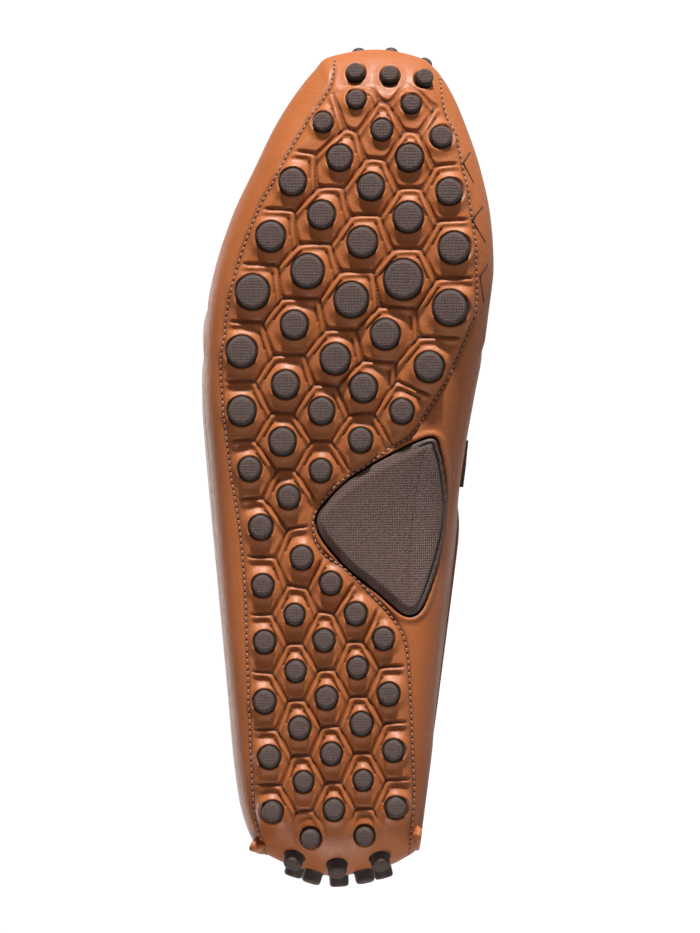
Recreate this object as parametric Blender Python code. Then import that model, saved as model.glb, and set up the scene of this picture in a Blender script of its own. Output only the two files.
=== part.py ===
"""A driving moccasin, right shoe, empty, lying on its inner side.

The shoe is worked out as if it stood: +X runs from the heel's back to the toe,
+Y to the inner (medial) side and +Z up from the plane of the studs' ends.
The upper is a bowl of ribs. Each rib starts at the spine, the line under the
middle of the foot, runs out across the bottom, turns up at the edge and climbs
the wall to the rim. At both ends the ribs fan out from the spine's last point.
Every other piece takes its place from the same skin, at its own depth.
At the end the shoe is laid down on the face of its hull under its weight.
"""
import bpy
import bmesh
import numpy as np
from math import cos, pi, sin, radians
from mathutils import Matrix, Vector
from mathutils.bvhtree import BVHTree

# Driving dimensions, in metres
LENGTH = 0.2865          # leather, heel's back to toe
BALL_WIDTH = 0.0995      # across the joints of the toes
HEEL_HEIGHT = 0.066      # about the height of the collar at the heel's back
INSTEP_HEIGHT = 0.080    # top of the apron at the throat
TOE_SPRING = 0.012       # how far the sole rises to the toe's tip
ARCH_RISE = 0.004        # how far the inner edge of the waist is lifted
TURN_REACH = 0.020       # width of the rounded edge, at its widest
TURN_HEIGHT = 0.020      # height of the rounded edge
APRON_INSET = 0.019      # from the outline in to the apron's seam
WALL = 0.0020            # leather of the upper
APRON_WALL = 0.0018      # leather of the apron and its tongue
PLATE = 0.0020           # rubber plate inside, which carries the studs
INSOLE = 0.0025          # sock on the plate
STRAP_WALL = 0.0020      # leather of the strap
TONGUE_BOW = 0.012       # how round the tongue's free end is
STRAP_WIDTH = 0.021
STRAP_END_ANGLE = 12     # degrees up to the strap's ends, from inside the shoe
SEAM_LIP = 0.0030        # how far the apron's seam stands up
BINDING_STEP = 0.0008    # how far the collar's binding stands out
BINDING_WIDTH = 0.0060
STUD_WIDTH = 0.0145      # the largest stud
STUD_HEIGHT = 0.0040     # from the leather to a stud's end
PAD_PROUD = 0.0016       # from the leather to the arch pad's face
HEEL_SEAM_WIDTH = 0.0034
HEEL_SEAM_HEIGHT = 0.0016
HEEL_EAR = 0.0026        # how far the seam's lower end stands out
CLEAR = 0.0003           # between pieces that touch
PAD_CLEAR = 0.0005       # round the arch pad, in its opening
STRAP_CLEAR = 0.0008     # under the strap, which spans the seams
PRESS = 0.0004           # how far the leather is pressed flat on the floor
STRAP_CORE = 0.036       # height of the point that the strap is pulled round

# Where the ribs fan out, and the ends of the apron, as shares of the length
HEEL_CENTRE = 0.125
TOE_CENTRE = 0.875
THROAT = 0.455
TONGUE_END = 0.365
STRAP_CENTRE = 0.505

# Where the heel's two seams start low and end high, as turns of the ribs
MEDIAL_SEAM = (3.81, 3.75)
LATERAL_SEAM = (3.22, 3.27)
FOOT_CLIMB = 2.93        # where the wall ends and the rim starts

# Numbers of ribs and of sides
SIDE_RIBS = 13
FAN_RIBS = 8
STUD_SIDES = 8
PAD_SIDES = 26
STRAP_STEPS = 22

# The outline at its widest: along as a share of LENGTH, the halves as shares of
# BALL_WIDTH from the axis, which runs through the middle of the heel.
OUTLINE = [
    # along, lateral, medial
    (0.010, 0.136, 0.128),
    (0.034, 0.280, 0.262),
    (0.080, 0.336, 0.304),
    (0.140, 0.363, 0.328),
    (0.220, 0.384, 0.344),
    (0.320, 0.411, 0.374),
    (0.420, 0.436, 0.404),
    (0.500, 0.455, 0.434),
    (0.580, 0.472, 0.476),
    (0.660, 0.466, 0.522),
    (0.730, 0.434, 0.546),
    (0.800, 0.370, 0.536),
    (0.860, 0.290, 0.499),
    (0.910, 0.221, 0.450),
    (0.950, 0.150, 0.400),
    (0.978, 0.080, 0.338),
    (0.993, 0.026, 0.270),
]
HEEL_BACK_ACROSS = -0.012
TOE_TIP_ACROSS = 0.130

# The bottom and its rounded edge: rise as a share of TOE_SPRING, lift as a share
# of ARCH_RISE, reach of TURN_REACH and up of TURN_HEIGHT, per side.
BOTTOM = [
    # along, rise, lift, reach lateral, reach medial, up lateral, up medial
    (0.00, 0.10, 0.0, 0.95, 0.95, 1.00, 1.00),
    (0.10, 0.00, 0.0, 0.60, 0.65, 0.85, 0.85),
    (0.25, 0.08, 0.2, 0.48, 0.58, 0.80, 0.85),
    (0.42, 0.24, 1.0, 0.46, 0.72, 0.80, 0.90),
    (0.55, 0.12, 0.7, 0.46, 0.64, 0.80, 0.85),
    (0.72, 0.00, 0.0, 0.46, 0.48, 0.75, 0.75),
    (0.85, 0.20, 0.0, 0.60, 0.60, 0.72, 0.72),
    (0.94, 0.60, 0.0, 0.95, 0.90, 0.66, 0.66),
    (1.00, 1.00, 0.0, 1.10, 1.10, 0.62, 0.62),
]

# The rim: height as a share of HEEL_HEIGHT, inset from the outline as a share of
# APRON_INSET, and the wall's lean inwards there in degrees.
RIM = [
    # along, height lateral, height medial, inset lateral, inset medial, lean
    (0.00, 0.94, 0.94, 0.18, 0.18, 4),
    (0.10, 0.88, 0.88, 0.16, 0.15, 4),
    (0.24, 0.72, 0.72, 0.14, 0.10, 3),
    (0.36, 0.71, 0.71, 0.22, 0.06, 3),
    (0.44, 0.81, 0.80, 0.42, 0.12, 8),
    (0.50, 0.93, 0.92, 0.66, 0.35, 24),
    (0.60, 0.87, 0.87, 0.90, 0.76, 44),
    (0.70, 0.79, 0.79, 1.00, 0.96, 50),
    (0.80, 0.72, 0.72, 1.00, 1.00, 52),
    (0.90, 0.69, 0.69, 0.86, 0.86, 48),
    (1.00, 0.67, 0.67, 0.68, 0.68, 44),
]

# The ridge of the apron and tongue, as a share of INSTEP_HEIGHT.
RIDGE = [
    # along, height
    (0.365, 1.10),
    (0.410, 1.05),
    (0.455, 1.00),
    (0.520, 0.945),
    (0.600, 0.865),
    (0.700, 0.762),
    (0.800, 0.668),
    (0.875, 0.610),
]

# Rows of studs on the bottom, from the toe to the heel. Across is measured from
# the axis in shares of BALL_WIDTH, slant is how much farther forward the medial
# end lies, and the sizes are shares of STUD_WIDTH.
STUD_ROWS = [
    # along, slant, lateral, medial, count, size lateral, size medial
    (0.975, -0.007, 0.066, 0.304, 3, 0.46, 0.46),
    (0.942, -0.006, 0.070, 0.261, 2, 0.48, 0.48),
    (0.914, -0.018, -0.045, 0.366, 3, 0.50, 0.56),
    (0.871, 0.000, 0.014, 0.258, 2, 0.64, 0.69),
    (0.842, -0.012, -0.150, 0.397, 3, 0.68, 0.66),
    (0.802, -0.003, -0.049, 0.254, 2, 0.69, 0.76),
    (0.776, -0.014, -0.226, 0.414, 3, 0.74, 0.79),
    (0.734, -0.010, -0.097, 0.237, 2, 0.84, 1.00),
    (0.709, -0.019, -0.289, 0.400, 3, 0.86, 0.88),
    (0.669, -0.011, -0.143, 0.174, 2, 0.69, 0.74),
    (0.637, -0.018, -0.327, 0.326, 3, 0.78, 0.74),
    (0.597, -0.004, -0.174, 0.097, 2, 0.69, 0.69),
    (0.565, 0.000, -0.327, 0.230, 3, 0.72, 0.60),
    (0.528, 0.002, -0.185, 0.087, 2, 0.69, 0.60),
    (0.495, -0.002, -0.299, -0.052, 2, 0.60, 0.57),
    (0.461, 0.000, -0.164, -0.164, 1, 0.60, 0.60),
    (0.424, 0.000, -0.261, -0.261, 1, 0.64, 0.64),
    (0.387, 0.000, -0.118, -0.118, 1, 0.62, 0.62),
    (0.353, 0.003, -0.254, -0.017, 2, 0.60, 0.60),
    (0.318, 0.001, -0.143, 0.070, 2, 0.56, 0.60),
    (0.285, 0.004, -0.247, 0.167, 3, 0.60, 0.58),
    (0.250, 0.004, -0.139, 0.077, 2, 0.57, 0.57),
    (0.213, 0.009, -0.247, 0.185, 3, 0.62, 0.60),
    (0.181, 0.005, -0.125, 0.091, 2, 0.60, 0.62),
    (0.146, 0.008, -0.230, 0.202, 3, 0.60, 0.57),
    (0.116, 0.002, -0.111, 0.097, 2, 0.55, 0.53),
    (0.080, 0.005, -0.219, 0.209, 3, 0.57, 0.57),
    (0.048, 0.003, -0.087, 0.101, 2, 0.55, 0.53),
]

# Rows of studs round the toe's front (+1) and up the heel's back (-1).
END_STUD_ROWS = [
    # end, height of HEEL_HEIGHT, lateral, medial, count, size
    (1, 0.475, 0.070, 0.290, 3, 0.36),
    (-1, 0.150, -0.146, 0.150, 3, 0.50),
    (-1, 0.300, -0.084, 0.090, 2, 0.50),
    (-1, 0.465, -0.150, 0.150, 3, 0.50),
]

# The arch pad's outline, anticlockwise from its toe end as seen from below.
PAD_OUTLINE = [
    # along, across
    (0.531, 0.318),
    (0.516, 0.356),
    (0.480, 0.372),
    (0.440, 0.376),
    (0.395, 0.355),
    (0.346, 0.316),
    (0.322, 0.284),
    (0.320, 0.235),
    (0.345, 0.150),
    (0.383, 0.020),
    (0.428, -0.066),
    (0.463, -0.008),
    (0.495, 0.110),
]

TAN = (0.36, 0.115, 0.032)
DARK_TAN = (0.24, 0.075, 0.022)
TAUPE = (0.16, 0.125, 0.105)
LINING = (0.42, 0.22, 0.10)


def smooth_curve(points, steps, closed):
    """Catmull-Rom curve through the points, with steps between each two."""
    points = np.array(points, dtype=float)
    count = len(points)
    spans = count if closed else count - 1
    out = []
    for i in range(spans):
        if closed:
            p0, p1, p2, p3 = (points[(i + k) % count] for k in (-1, 0, 1, 2))
        else:
            p0, p1, p2, p3 = (points[min(max(i + k, 0), count - 1)] for k in (-1, 0, 1, 2))
        for step in range(steps):
            t = step / steps
            out.append(0.5 * (2 * p1 + (p2 - p0) * t
                              + (2 * p0 - 5 * p1 + 4 * p2 - p3) * t ** 2
                              + (3 * p1 - p0 - 3 * p2 + p3) * t ** 3))
    if not closed:
        out.append(points[-1])
    return np.array(out)


CURVES = {}


def column(table, along, number):
    """A table's column at a place along the shoe, read from a smooth curve."""
    curve = CURVES.get((id(table), number))
    if curve is None:
        curve = smooth_curve([(row[0], row[number]) for row in table], 12, False)
        CURVES[(id(table), number)] = curve
    return float(np.interp(along, curve[:, 0], curve[:, 1]))


def both_sides(table, along, number, side):
    """Mix of the lateral column and the medial one after it; side is -1 to 1."""
    lateral = column(table, along, number)
    medial = column(table, along, number + 1)
    return lateral + (medial - lateral) * (1 + side) / 2


def outline_points():
    """The closed outline in plan, in metres."""
    points = [(0.0, HEEL_BACK_ACROSS)]
    points += [(along, medial) for along, lateral, medial in OUTLINE]
    points += [(1.0, TOE_TIP_ACROSS)]
    points += [(along, -lateral) for along, lateral, medial in reversed(OUTLINE)]
    return smooth_curve(points, 16, True) * (LENGTH, BALL_WIDTH)


EDGE = outline_points()


def spine_across(along):
    """The spine lies midway between the outline's two sides."""
    along = min(max(along, OUTLINE[0][0]), OUTLINE[-1][0])
    return (column(OUTLINE, along, 2) - column(OUTLINE, along, 1)) / 2 * BALL_WIDTH


def reach_to_edge(start, angle):
    """Distance in plan from a point of the spine to the outline, at an angle."""
    way = np.array([cos(angle), sin(angle)])
    side = np.array([-way[1], way[0]])
    off = (EDGE - start) @ side
    ahead = (EDGE - start) @ way
    nxt = np.roll(np.arange(len(EDGE)), -1)
    crossing = (off * off[nxt] <= 0) & (off != off[nxt])
    share = off[crossing] / (off[crossing] - off[nxt][crossing])
    reach = ahead[crossing] + share * (ahead[nxt][crossing] - ahead[crossing])
    return float(reach.max())


def rib(turn):
    """Spine point and angle of the rib at a turn of 0 to 4 round the shoe.

    0 to 1 is the medial side from heel to toe, 1 to 2 the toe's fan, 2 to 3 the
    lateral side back to the heel and 3 to 4 the heel's fan.
    """
    turn = turn % 4
    span = TOE_CENTRE - HEEL_CENTRE
    if turn <= 1:
        along, angle = HEEL_CENTRE + span * turn, pi / 2
    elif turn <= 2:
        along, angle = TOE_CENTRE, pi / 2 - pi * (turn - 1)
    elif turn <= 3:
        along, angle = TOE_CENTRE - span * (turn - 2), -pi / 2
    else:
        along, angle = HEEL_CENTRE, -pi / 2 - pi * (turn - 3)
    return np.array([along * LENGTH, spine_across(along)]), angle


def bottom_height(along):
    """Height of the leather under the spine, above the studs' ends."""
    return STUD_HEIGHT + TOE_SPRING * column(BOTTOM, along, 1)


def skin(turn, climb):
    """A point of the upper's outer skin.

    climb runs 0 to 1 over the bottom, 1 to 2 round the edge, along a quarter of
    an ellipse, and 2 to 3 up the wall, along a cubic curve to the rim.
    """
    start, angle = rib(turn)
    edge = reach_to_edge(start, angle)
    side = sin(angle)
    along = (start[0] + edge * cos(angle)) / LENGTH
    reach = TURN_REACH * both_sides(BOTTOM, along, 3, side)
    up = TURN_HEIGHT * both_sides(BOTTOM, along, 5, side)
    flat = edge - reach
    theta = min(max(climb - 1, 0), 1) * pi / 2
    out = flat * min(climb, 1) + reach * sin(theta)
    across = min(out / flat, 1.0) * max(side, 0)
    here = (start[0] + out * cos(angle)) / LENGTH
    lift = ARCH_RISE * column(BOTTOM, here, 2) * across ** 2
    height = bottom_height(here) + lift + up * (1 - cos(theta))
    if climb > 2:
        t = climb - 2
        rim_height = HEEL_HEIGHT * both_sides(RIM, along, 1, side)
        rim_out = edge - APRON_INSET * both_sides(RIM, along, 3, side)
        lean = radians(column(RIM, along, 5))
        rise = rim_height - height
        handle = 0.45 * rise
        p0 = np.array([edge, height])
        p1 = p0 + (0, handle)
        p3 = np.array([rim_out, rim_height])
        p2 = p3 - (-sin(lean) * handle, cos(lean) * handle)
        out, height = ((1 - t) ** 3 * p0 + 3 * (1 - t) ** 2 * t * p1
                       + 3 * (1 - t) * t ** 2 * p2 + t ** 3 * p3)
    return np.array([start[0] + out * cos(angle), start[1] + out * sin(angle), height])


def skin_normal(turn, climb):
    """Unit normal of the skin, pointing out of the shoe."""
    if climb < 0.02:
        along = rib(turn)[0][0] / LENGTH
        step = 0.01
        slope = (bottom_height(along + step) - bottom_height(along - step)) / (2 * step * LENGTH)
        normal = np.array([slope, 0.0, -1.0])
        return normal / np.linalg.norm(normal)
    around = skin(turn + 0.004, climb) - skin(turn - 0.004, climb)
    higher = min(climb + 0.01, 3.0)
    outward = skin(turn, higher) - skin(turn, climb - 0.01)
    normal = np.cross(outward, around)
    return normal / np.linalg.norm(normal)


def skin_at(turn, climb, offset):
    """A point offset from the skin along its normal, outwards if positive."""
    return skin(turn, climb) + offset * skin_normal(turn, climb)


class Sheet:
    """Two matching sides of a piece, closed round their edge into one solid."""

    def __init__(self):
        self.index = {}
        self.outer = []
        self.inner = []
        self.faces = []

    def point(self, key, outer, inner):
        """Name a pair of points, one on each side; a name is given once."""
        if key in self.index:
            return
        self.index[key] = len(self.outer)
        self.outer.append(tuple(outer))
        self.inner.append(tuple(inner))

    def face(self, *keys):
        """A face by its points' names, anticlockwise as seen from outside."""
        names = list(dict.fromkeys(self.index[key] for key in keys))
        if len(names) > 2:
            self.faces.append(names)

    def mesh(self, name):
        """The closed mesh: both sides, and a strip along every open edge."""
        count = len(self.outer)
        edges = {}
        for names in self.faces:
            for a, b in zip(names, names[1:] + names[:1]):
                edges[(a, b)] = edges.get((a, b), 0) + 1
        strips = [(b, a, a + count, b + count) for a, b in edges if (b, a) not in edges]
        inside = [[count + n for n in reversed(names)] for names in self.faces]
        mesh = bpy.data.meshes.new(name)
        mesh.from_pydata(self.outer + self.inner, [], self.faces + inside + strips)
        work = bmesh.new()
        work.from_mesh(mesh)
        bmesh.ops.triangulate(work, faces=work.faces[:])
        bmesh.ops.recalc_face_normals(work, faces=work.faces[:])
        work.to_mesh(mesh)
        work.free()
        return mesh


def make_collection(name):
    """A collection linked to the scene."""
    collection = bpy.data.collections.new(name)
    bpy.context.scene.collection.children.link(collection)
    return collection


def make_material(name, colour, roughness):
    """A Principled material of one colour."""
    material = bpy.data.materials.new(name)
    material.use_nodes = True
    shader = material.node_tree.nodes["Principled BSDF"]
    shader.inputs["Base Color"].default_value = (*colour, 1.0)
    shader.inputs["Roughness"].default_value = roughness
    return material


def make_piece(name, mesh, material, smooth_angle=40):
    """A visible piece of the shoe, shaded smooth up to an angle."""
    mesh.materials.append(material)
    mesh.shade_smooth()
    mesh.set_sharp_from_angle(angle=radians(smooth_angle))
    piece = bpy.data.objects.new(name, mesh)
    PARTS.objects.link(piece)
    return piece


def make_cutter(name, mesh, collection):
    """A hidden cutter."""
    cutter = bpy.data.objects.new(name, mesh)
    cutter.hide_render = True
    cutter.display_type = "WIRE"
    collection.objects.link(cutter)
    return cutter


def boolean(piece, operation, collection=None, cutter=None):
    """Cut a piece by, or join it with, one object or a whole collection."""
    modifier = piece.modifiers.new(operation.title(), "BOOLEAN")
    modifier.operation = operation
    modifier.solver = "EXACT"
    if collection:
        modifier.operand_type = "COLLECTION"
        modifier.collection = collection
    else:
        modifier.object = cutter


def rib_turns():
    """The turns of all ribs round the shoe, starting at the medial heel."""
    sides = [i / (SIDE_RIBS - 1) for i in range(SIDE_RIBS)]
    fan = [(i + 1) / FAN_RIBS for i in range(FAN_RIBS - 1)]
    return (sides + [1 + share for share in fan]
            + [2 + share for share in sides] + [3 + share for share in fan])


def spine_key(turn):
    """Ribs that start at the same point of the spine share this name."""
    share = min(max(1.5 - abs(turn % 4 - 1.5), 0.0), 1.0)
    return "spine", round(share * (SIDE_RIBS - 1))


CLIMBS = [0, 0.45, 0.8, 1, 1.25, 1.5, 1.75, 2, 2.25, 2.5, 3]


def add_skin_rows(sheet, last_rows, outer_offset, inner_offset):
    """Points and faces of a layer of the skin, up to each rib's last row."""
    turns = rib_turns()
    for i, turn in enumerate(turns):
        sheet.point(spine_key(turn), skin_at(turn, 0, outer_offset), skin_at(turn, 0, inner_offset))
        for j in range(1, last_rows[i] + 1):
            sheet.point((i, j), skin_at(turn, CLIMBS[j], outer_offset),
                        skin_at(turn, CLIMBS[j], inner_offset))
    for i, turn in enumerate(turns):
        k = (i + 1) % len(turns)
        shared = min(last_rows[i], last_rows[k])
        sheet.face(spine_key(turn), (i, 1), (k, 1), spine_key(turns[k]))
        for j in range(1, shared):
            sheet.face((i, j), (i, j + 1), (k, j + 1), (k, j))
        if last_rows[i] > shared:
            sheet.face((i, shared), (i, shared + 1), (k, shared))
        if last_rows[k] > shared:
            sheet.face((i, shared), (k, shared + 1), (k, shared))


def is_apron(turn):
    """Whether a rib ends at the apron's seam and not at the collar."""
    return THROAT < (rib(turn)[0][0] / LENGTH) or 1 < turn % 4 < 2


def rim_points(turn):
    """Rim of a rib: the foot and the top of its lip, outer and inner.

    Beside the apron the lip stands straight up, as one half of the raised seam.
    Round the collar it carries on up the wall, one step out: the binding.
    """
    inward = -np.array([cos(rib(turn)[1]), sin(rib(turn)[1]), 0.0])
    foot = skin(turn, 3)
    up = np.array([0.0, 0.0, 1.0])
    if is_apron(turn):
        foot_in = foot + inward * WALL - up * 0.4 * WALL
        return foot, foot_in, foot + up * SEAM_LIP, foot + inward * WALL + up * SEAM_LIP
    low = foot - inward * BINDING_STEP
    top = low + up * BINDING_WIDTH
    return low, foot + inward * WALL, top, foot + inward * WALL + up * BINDING_WIDTH


def make_upper(material):
    """The leather shell, wrapped under the foot and open at the top."""
    sheet = Sheet()
    turns = rib_turns()
    last = len(CLIMBS) - 2
    add_skin_rows(sheet, [last] * len(turns), 0, -WALL)
    for i, turn in enumerate(turns):
        low, low_in, top, top_in = rim_points(turn)
        sheet.point((i, "foot"), skin(turn, FOOT_CLIMB), skin_at(turn, FOOT_CLIMB, -WALL))
        sheet.point((i, "low"), low, low_in)
        sheet.point((i, "top"), top, top_in)
    for i in range(len(turns)):
        k = (i + 1) % len(turns)
        for a, b in ((last, "foot"), ("foot", "low"), ("low", "top")):
            sheet.face((i, a), (i, b), (k, b), (k, a))
    return make_piece("upper", sheet.mesh("upper"), material)


def ramp_rows(centre_turn, low, high):
    """Last rows that climb by one a rib up to the rib at centre_turn."""
    turns = rib_turns()
    centre = min(range(len(turns)), key=lambda i: abs(turns[i] - centre_turn))
    rows = []
    for i in range(len(turns)):
        away = min((i - centre) % len(turns), (centre - i) % len(turns))
        rows.append(max(low, high - max(away - 1, 0)))
    return rows


def plate_rows():
    """The plate ends where the bottom does, but climbs at the toe and the heel."""
    edge = CLIMBS.index(1)
    toe = ramp_rows(1.5, edge, CLIMBS.index(2.5))
    heel = ramp_rows(3.5, edge, CLIMBS.index(2.5))
    return [max(a, b) for a, b in zip(toe, heel)]


def fine_skin():
    """The skin as a fine mesh, on which the studs and the pad are placed."""
    turns = np.linspace(0, 4, 161)[:-1]
    climbs = np.linspace(0.02, 3, 61)
    points = [skin(turn, climb) for turn in turns for climb in climbs]
    rows = len(climbs)
    faces = []
    for i in range(len(turns)):
        k = (i + 1) % len(turns)
        for j in range(rows - 1):
            faces.append((i * rows + j, i * rows + j + 1, k * rows + j + 1, k * rows + j))
    faces.append([i * rows for i in reversed(range(len(turns)))])
    return BVHTree.FromPolygons([tuple(p) for p in points], faces)


def cast(tree, origin, way):
    """Where a ray meets the fine skin, and the mean normal round that point."""
    spread = 0.0015
    origin, way = Vector(origin), Vector(way)
    side = way.orthogonal().normalized()
    other = way.cross(side)
    hit = tree.ray_cast(origin, way)[0]
    normal = Vector((0, 0, 0))
    for shift in (side, -side, other, -other):
        near = tree.ray_cast(origin + shift * spread, way)
        if near[0] is not None:
            facing = near[1] if near[1].dot(way) > 0 else -near[1]
            normal += facing
    return hit, normal.normalized()


def cast_down(tree, x, y):
    """The skin under a point of the plan, seen from above the rounded edge's foot."""
    return cast(tree, (x, y, STUD_HEIGHT + TOE_SPRING + 0.2 * TURN_HEIGHT), (0, 0, -1))


def stud_places(tree):
    """Foot point, outward axis and diameter of every stud."""
    places = []
    for along, slant, lateral, medial, count, size_lateral, size_medial in STUD_ROWS:
        for i in range(count):
            share = i / (count - 1) if count > 1 else 0.0
            x = (along + slant * share) * LENGTH
            y = (lateral + (medial - lateral) * share) * BALL_WIDTH
            size = size_lateral + (size_medial - size_lateral) * share
            foot, axis = cast_down(tree, x, y)
            places.append((foot, axis, size * STUD_WIDTH))
    for end, height, lateral, medial, count, size in END_STUD_ROWS:
        middle = (TOE_CENTRE if end > 0 else HEEL_CENTRE) * LENGTH
        for i in range(count):
            y = (lateral + (medial - lateral) * i / (count - 1)) * BALL_WIDTH
            foot, axis = cast(tree, (middle, y, height * HEEL_HEIGHT), (end, 0, 0))
            places.append((foot, axis, size * STUD_WIDTH))
    return places


def peg_mesh(name, foot, axis, radius, low, high):
    """A peg along an axis, from low to high, measured from its foot point."""
    work = bmesh.new()
    bmesh.ops.create_cone(work, cap_ends=True, segments=STUD_SIDES, radius1=radius,
                          radius2=radius, depth=high - low)
    turn = axis.to_track_quat("Z", "Y").to_matrix().to_4x4()
    place = Matrix.Translation(foot + axis * (low + high) / 2) @ turn
    bmesh.ops.transform(work, matrix=place, verts=work.verts[:])
    mesh = bpy.data.meshes.new(name)
    work.to_mesh(mesh)
    work.free()
    return mesh


def make_outsole(places, material):
    """The rubber plate inside the leather, with the studs moulded on it."""
    sheet = Sheet()
    depth = WALL + CLEAR
    add_skin_rows(sheet, plate_rows(), -depth, -depth - PLATE)
    outsole = make_piece("outsole", sheet.mesh("outsole"), material)
    for i, (foot, axis, width) in enumerate(places):
        peg = peg_mesh(f"stud_{i}", foot, axis, width / 2, -depth - 0.85 * PLATE, STUD_HEIGHT)
        make_cutter(f"stud_{i}", peg, STUDS)
    boolean(outsole, "UNION", collection=STUDS)
    return outsole


def cut_stud_holes(upper, places):
    """A hole through the leather round each stud."""
    for i, (foot, axis, width) in enumerate(places):
        radius = width / 2 + CLEAR / cos(pi / STUD_SIDES)
        hole = peg_mesh(f"hole_{i}", foot, axis, radius, -2.5 * WALL, 1.5 * WALL)
        make_cutter(f"hole_{i}", hole, HOLES)
    boolean(upper, "DIFFERENCE", collection=HOLES)


def pad_sheet(tree, spread, outer_offset, inner_offset):
    """A slab of the pad's outline laid on the skin, in rings round its middle."""
    line = smooth_curve(PAD_OUTLINE, 12, True) * (LENGTH, BALL_WIDTH)
    lengths = np.linalg.norm(np.roll(line, -1, axis=0) - line, axis=1)
    marks = np.concatenate([[0], np.cumsum(lengths)])
    wanted = np.linspace(0, marks[-1], PAD_SIDES + 1)[:-1]
    closed = np.vstack([line, line[:1]])
    ring = np.stack([np.interp(wanted, marks, closed[:, i]) for i in (0, 1)], axis=1)
    ahead = np.roll(ring, -1, axis=0) - np.roll(ring, 1, axis=0)
    normal = np.stack([-ahead[:, 1], ahead[:, 0]], axis=1)
    normal /= np.linalg.norm(normal, axis=1)[:, None]
    middle = ring.mean(axis=0)
    if ((ring - middle) * normal).sum() < 0:
        normal = -normal
    sheet = Sheet()
    shares = (1.0, 0.88, 0.7, 0.4)
    for level, share in enumerate(shares):
        for i in range(PAD_SIDES):
            x, y = middle + (ring[i] - middle) * share
            foot, axis = cast_down(tree, x, y)
            foot = foot + Vector((*normal[i], 0)) * spread * share
            sheet.point((level, i), foot + axis * outer_offset, foot + axis * inner_offset)
    foot, axis = cast_down(tree, *middle)
    sheet.point("middle", foot + axis * outer_offset, foot + axis * inner_offset)
    last = len(shares) - 1
    for i in range(PAD_SIDES):
        k = (i + 1) % PAD_SIDES
        for level in range(last):
            sheet.face((level, i), (level, k), (level + 1, k), (level + 1, i))
        sheet.face((last, i), (last, k), "middle")
    return sheet


def make_arch_pad(tree, upper, material):
    """The rubber pad under the arch, in its own opening in the leather."""
    pad = pad_sheet(tree, 0, PAD_PROUD, -WALL).mesh("arch_pad")
    opening = pad_sheet(tree, PAD_CLEAR, 1.5 * WALL, -2 * WALL).mesh("pad_opening")
    cutter = make_cutter("pad_opening", opening, CUTTERS)
    boolean(upper, "DIFFERENCE", cutter=cutter)
    return make_piece("arch_pad", pad, material)


def make_insole(material):
    """The sock, laid on the plate."""
    sheet = Sheet()
    depth = WALL + CLEAR + PLATE + CLEAR
    rows = [CLIMBS.index(1)] * len(rib_turns())
    add_skin_rows(sheet, rows, -depth, -depth - INSOLE)
    return make_piece("insole", sheet.mesh("insole"), material)


APRON_SHARES = (0.0, 0.12, 0.35, 0.65, 1.0)


def apron_point(turn, share, drop):
    """A point of the apron between its seam (0) and its ridge (1)."""
    start, angle = rib(turn)
    inward = -np.array([cos(angle), sin(angle), 0.0])
    edge = skin(turn, 3) + inward * (WALL + CLEAR)
    along = start[0] / LENGTH
    ridge = np.array([start[0], start[1], INSTEP_HEIGHT * column(RIDGE, along, 1)])
    point = edge + (ridge - edge) * share
    point[2] = edge[2] + (ridge[2] - edge[2]) * (1 - (1 - share) ** 2) - drop
    return point


def make_apron(material):
    """The apron over the toes and the tongue behind it, in one piece."""
    sheet = Sheet()
    turns = [turn for turn in rib_turns() if is_apron(turn) and turn < 3]
    up = np.array([0.0, 0.0, 1.0])
    levels = len(APRON_SHARES)
    for turn in turns:
        inward = -np.array([cos(rib(turn)[1]), sin(rib(turn)[1]), 0.0])
        foot = apron_point(turn, 0, 0)
        sheet.point((turn, "lip"), foot + up * SEAM_LIP,
                    foot + inward * APRON_WALL + up * SEAM_LIP)
        sheet.point((turn, 0), foot - up * 0.5 * APRON_WALL,
                    foot + inward * APRON_WALL + up * 0.5 * APRON_WALL)
        for level in range(1, levels):
            name = spine_key(turn) if level == levels - 1 else (turn, level)
            share = APRON_SHARES[level]
            sheet.point(name, apron_point(turn, share, APRON_WALL), apron_point(turn, share, 0))
    for here, there in zip(turns, turns[1:]):
        names = ["lip", *range(levels)]
        for a, b in zip(names, names[1:]):
            keys = [(here, a), (here, b), (there, b), (there, a)]
            keys = [spine_key(key[0]) if key[1] == levels - 1 else key for key in keys]
            sheet.face(*keys)
    add_tongue(sheet, turns[0], turns[-1])
    mesh = sheet.mesh("apron")
    return make_piece("apron", mesh, material)


def add_tongue(sheet, medial_turn, lateral_turn):
    """Rows of the tongue, behind the apron's last ribs."""
    levels = len(APRON_SHARES)
    first = rib(medial_turn)[0][0] / LENGTH
    steps = 4
    names = [(medial_turn, level) for level in range(1, levels - 1)]
    names += [spine_key(medial_turn)]
    names += [(lateral_turn, level) for level in reversed(range(1, levels - 1))]
    before = [sheet.outer[sheet.index[name]] for name in names]
    centre = before[len(before) // 2][1]
    half = before[0][1] - centre
    for step in range(1, steps + 1):
        share = step / steps
        along = first + (TONGUE_END - first) * share
        ridge = INSTEP_HEIGHT * column(RIDGE, along, 1)
        narrow = 1 - 0.10 * share - 0.22 * share ** 4
        row = []
        for name, place in zip(names, before):
            across = (place[1] - centre) * narrow
            bow = TONGUE_BOW * share * (across / half) ** 2
            height = ridge - (before[len(before) // 2][2] - place[2]) * narrow
            inner = np.array([along * LENGTH + bow, centre + across, height])
            key = ("tongue", step, name)
            sheet.point(key, inner - (0, 0, APRON_WALL), inner)
            row.append(key)
        last = names if step == 1 else [("tongue", step - 1, name) for name in names]
        for i in range(len(row) - 1):
            sheet.face(last[i], row[i], row[i + 1], last[i + 1])


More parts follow.
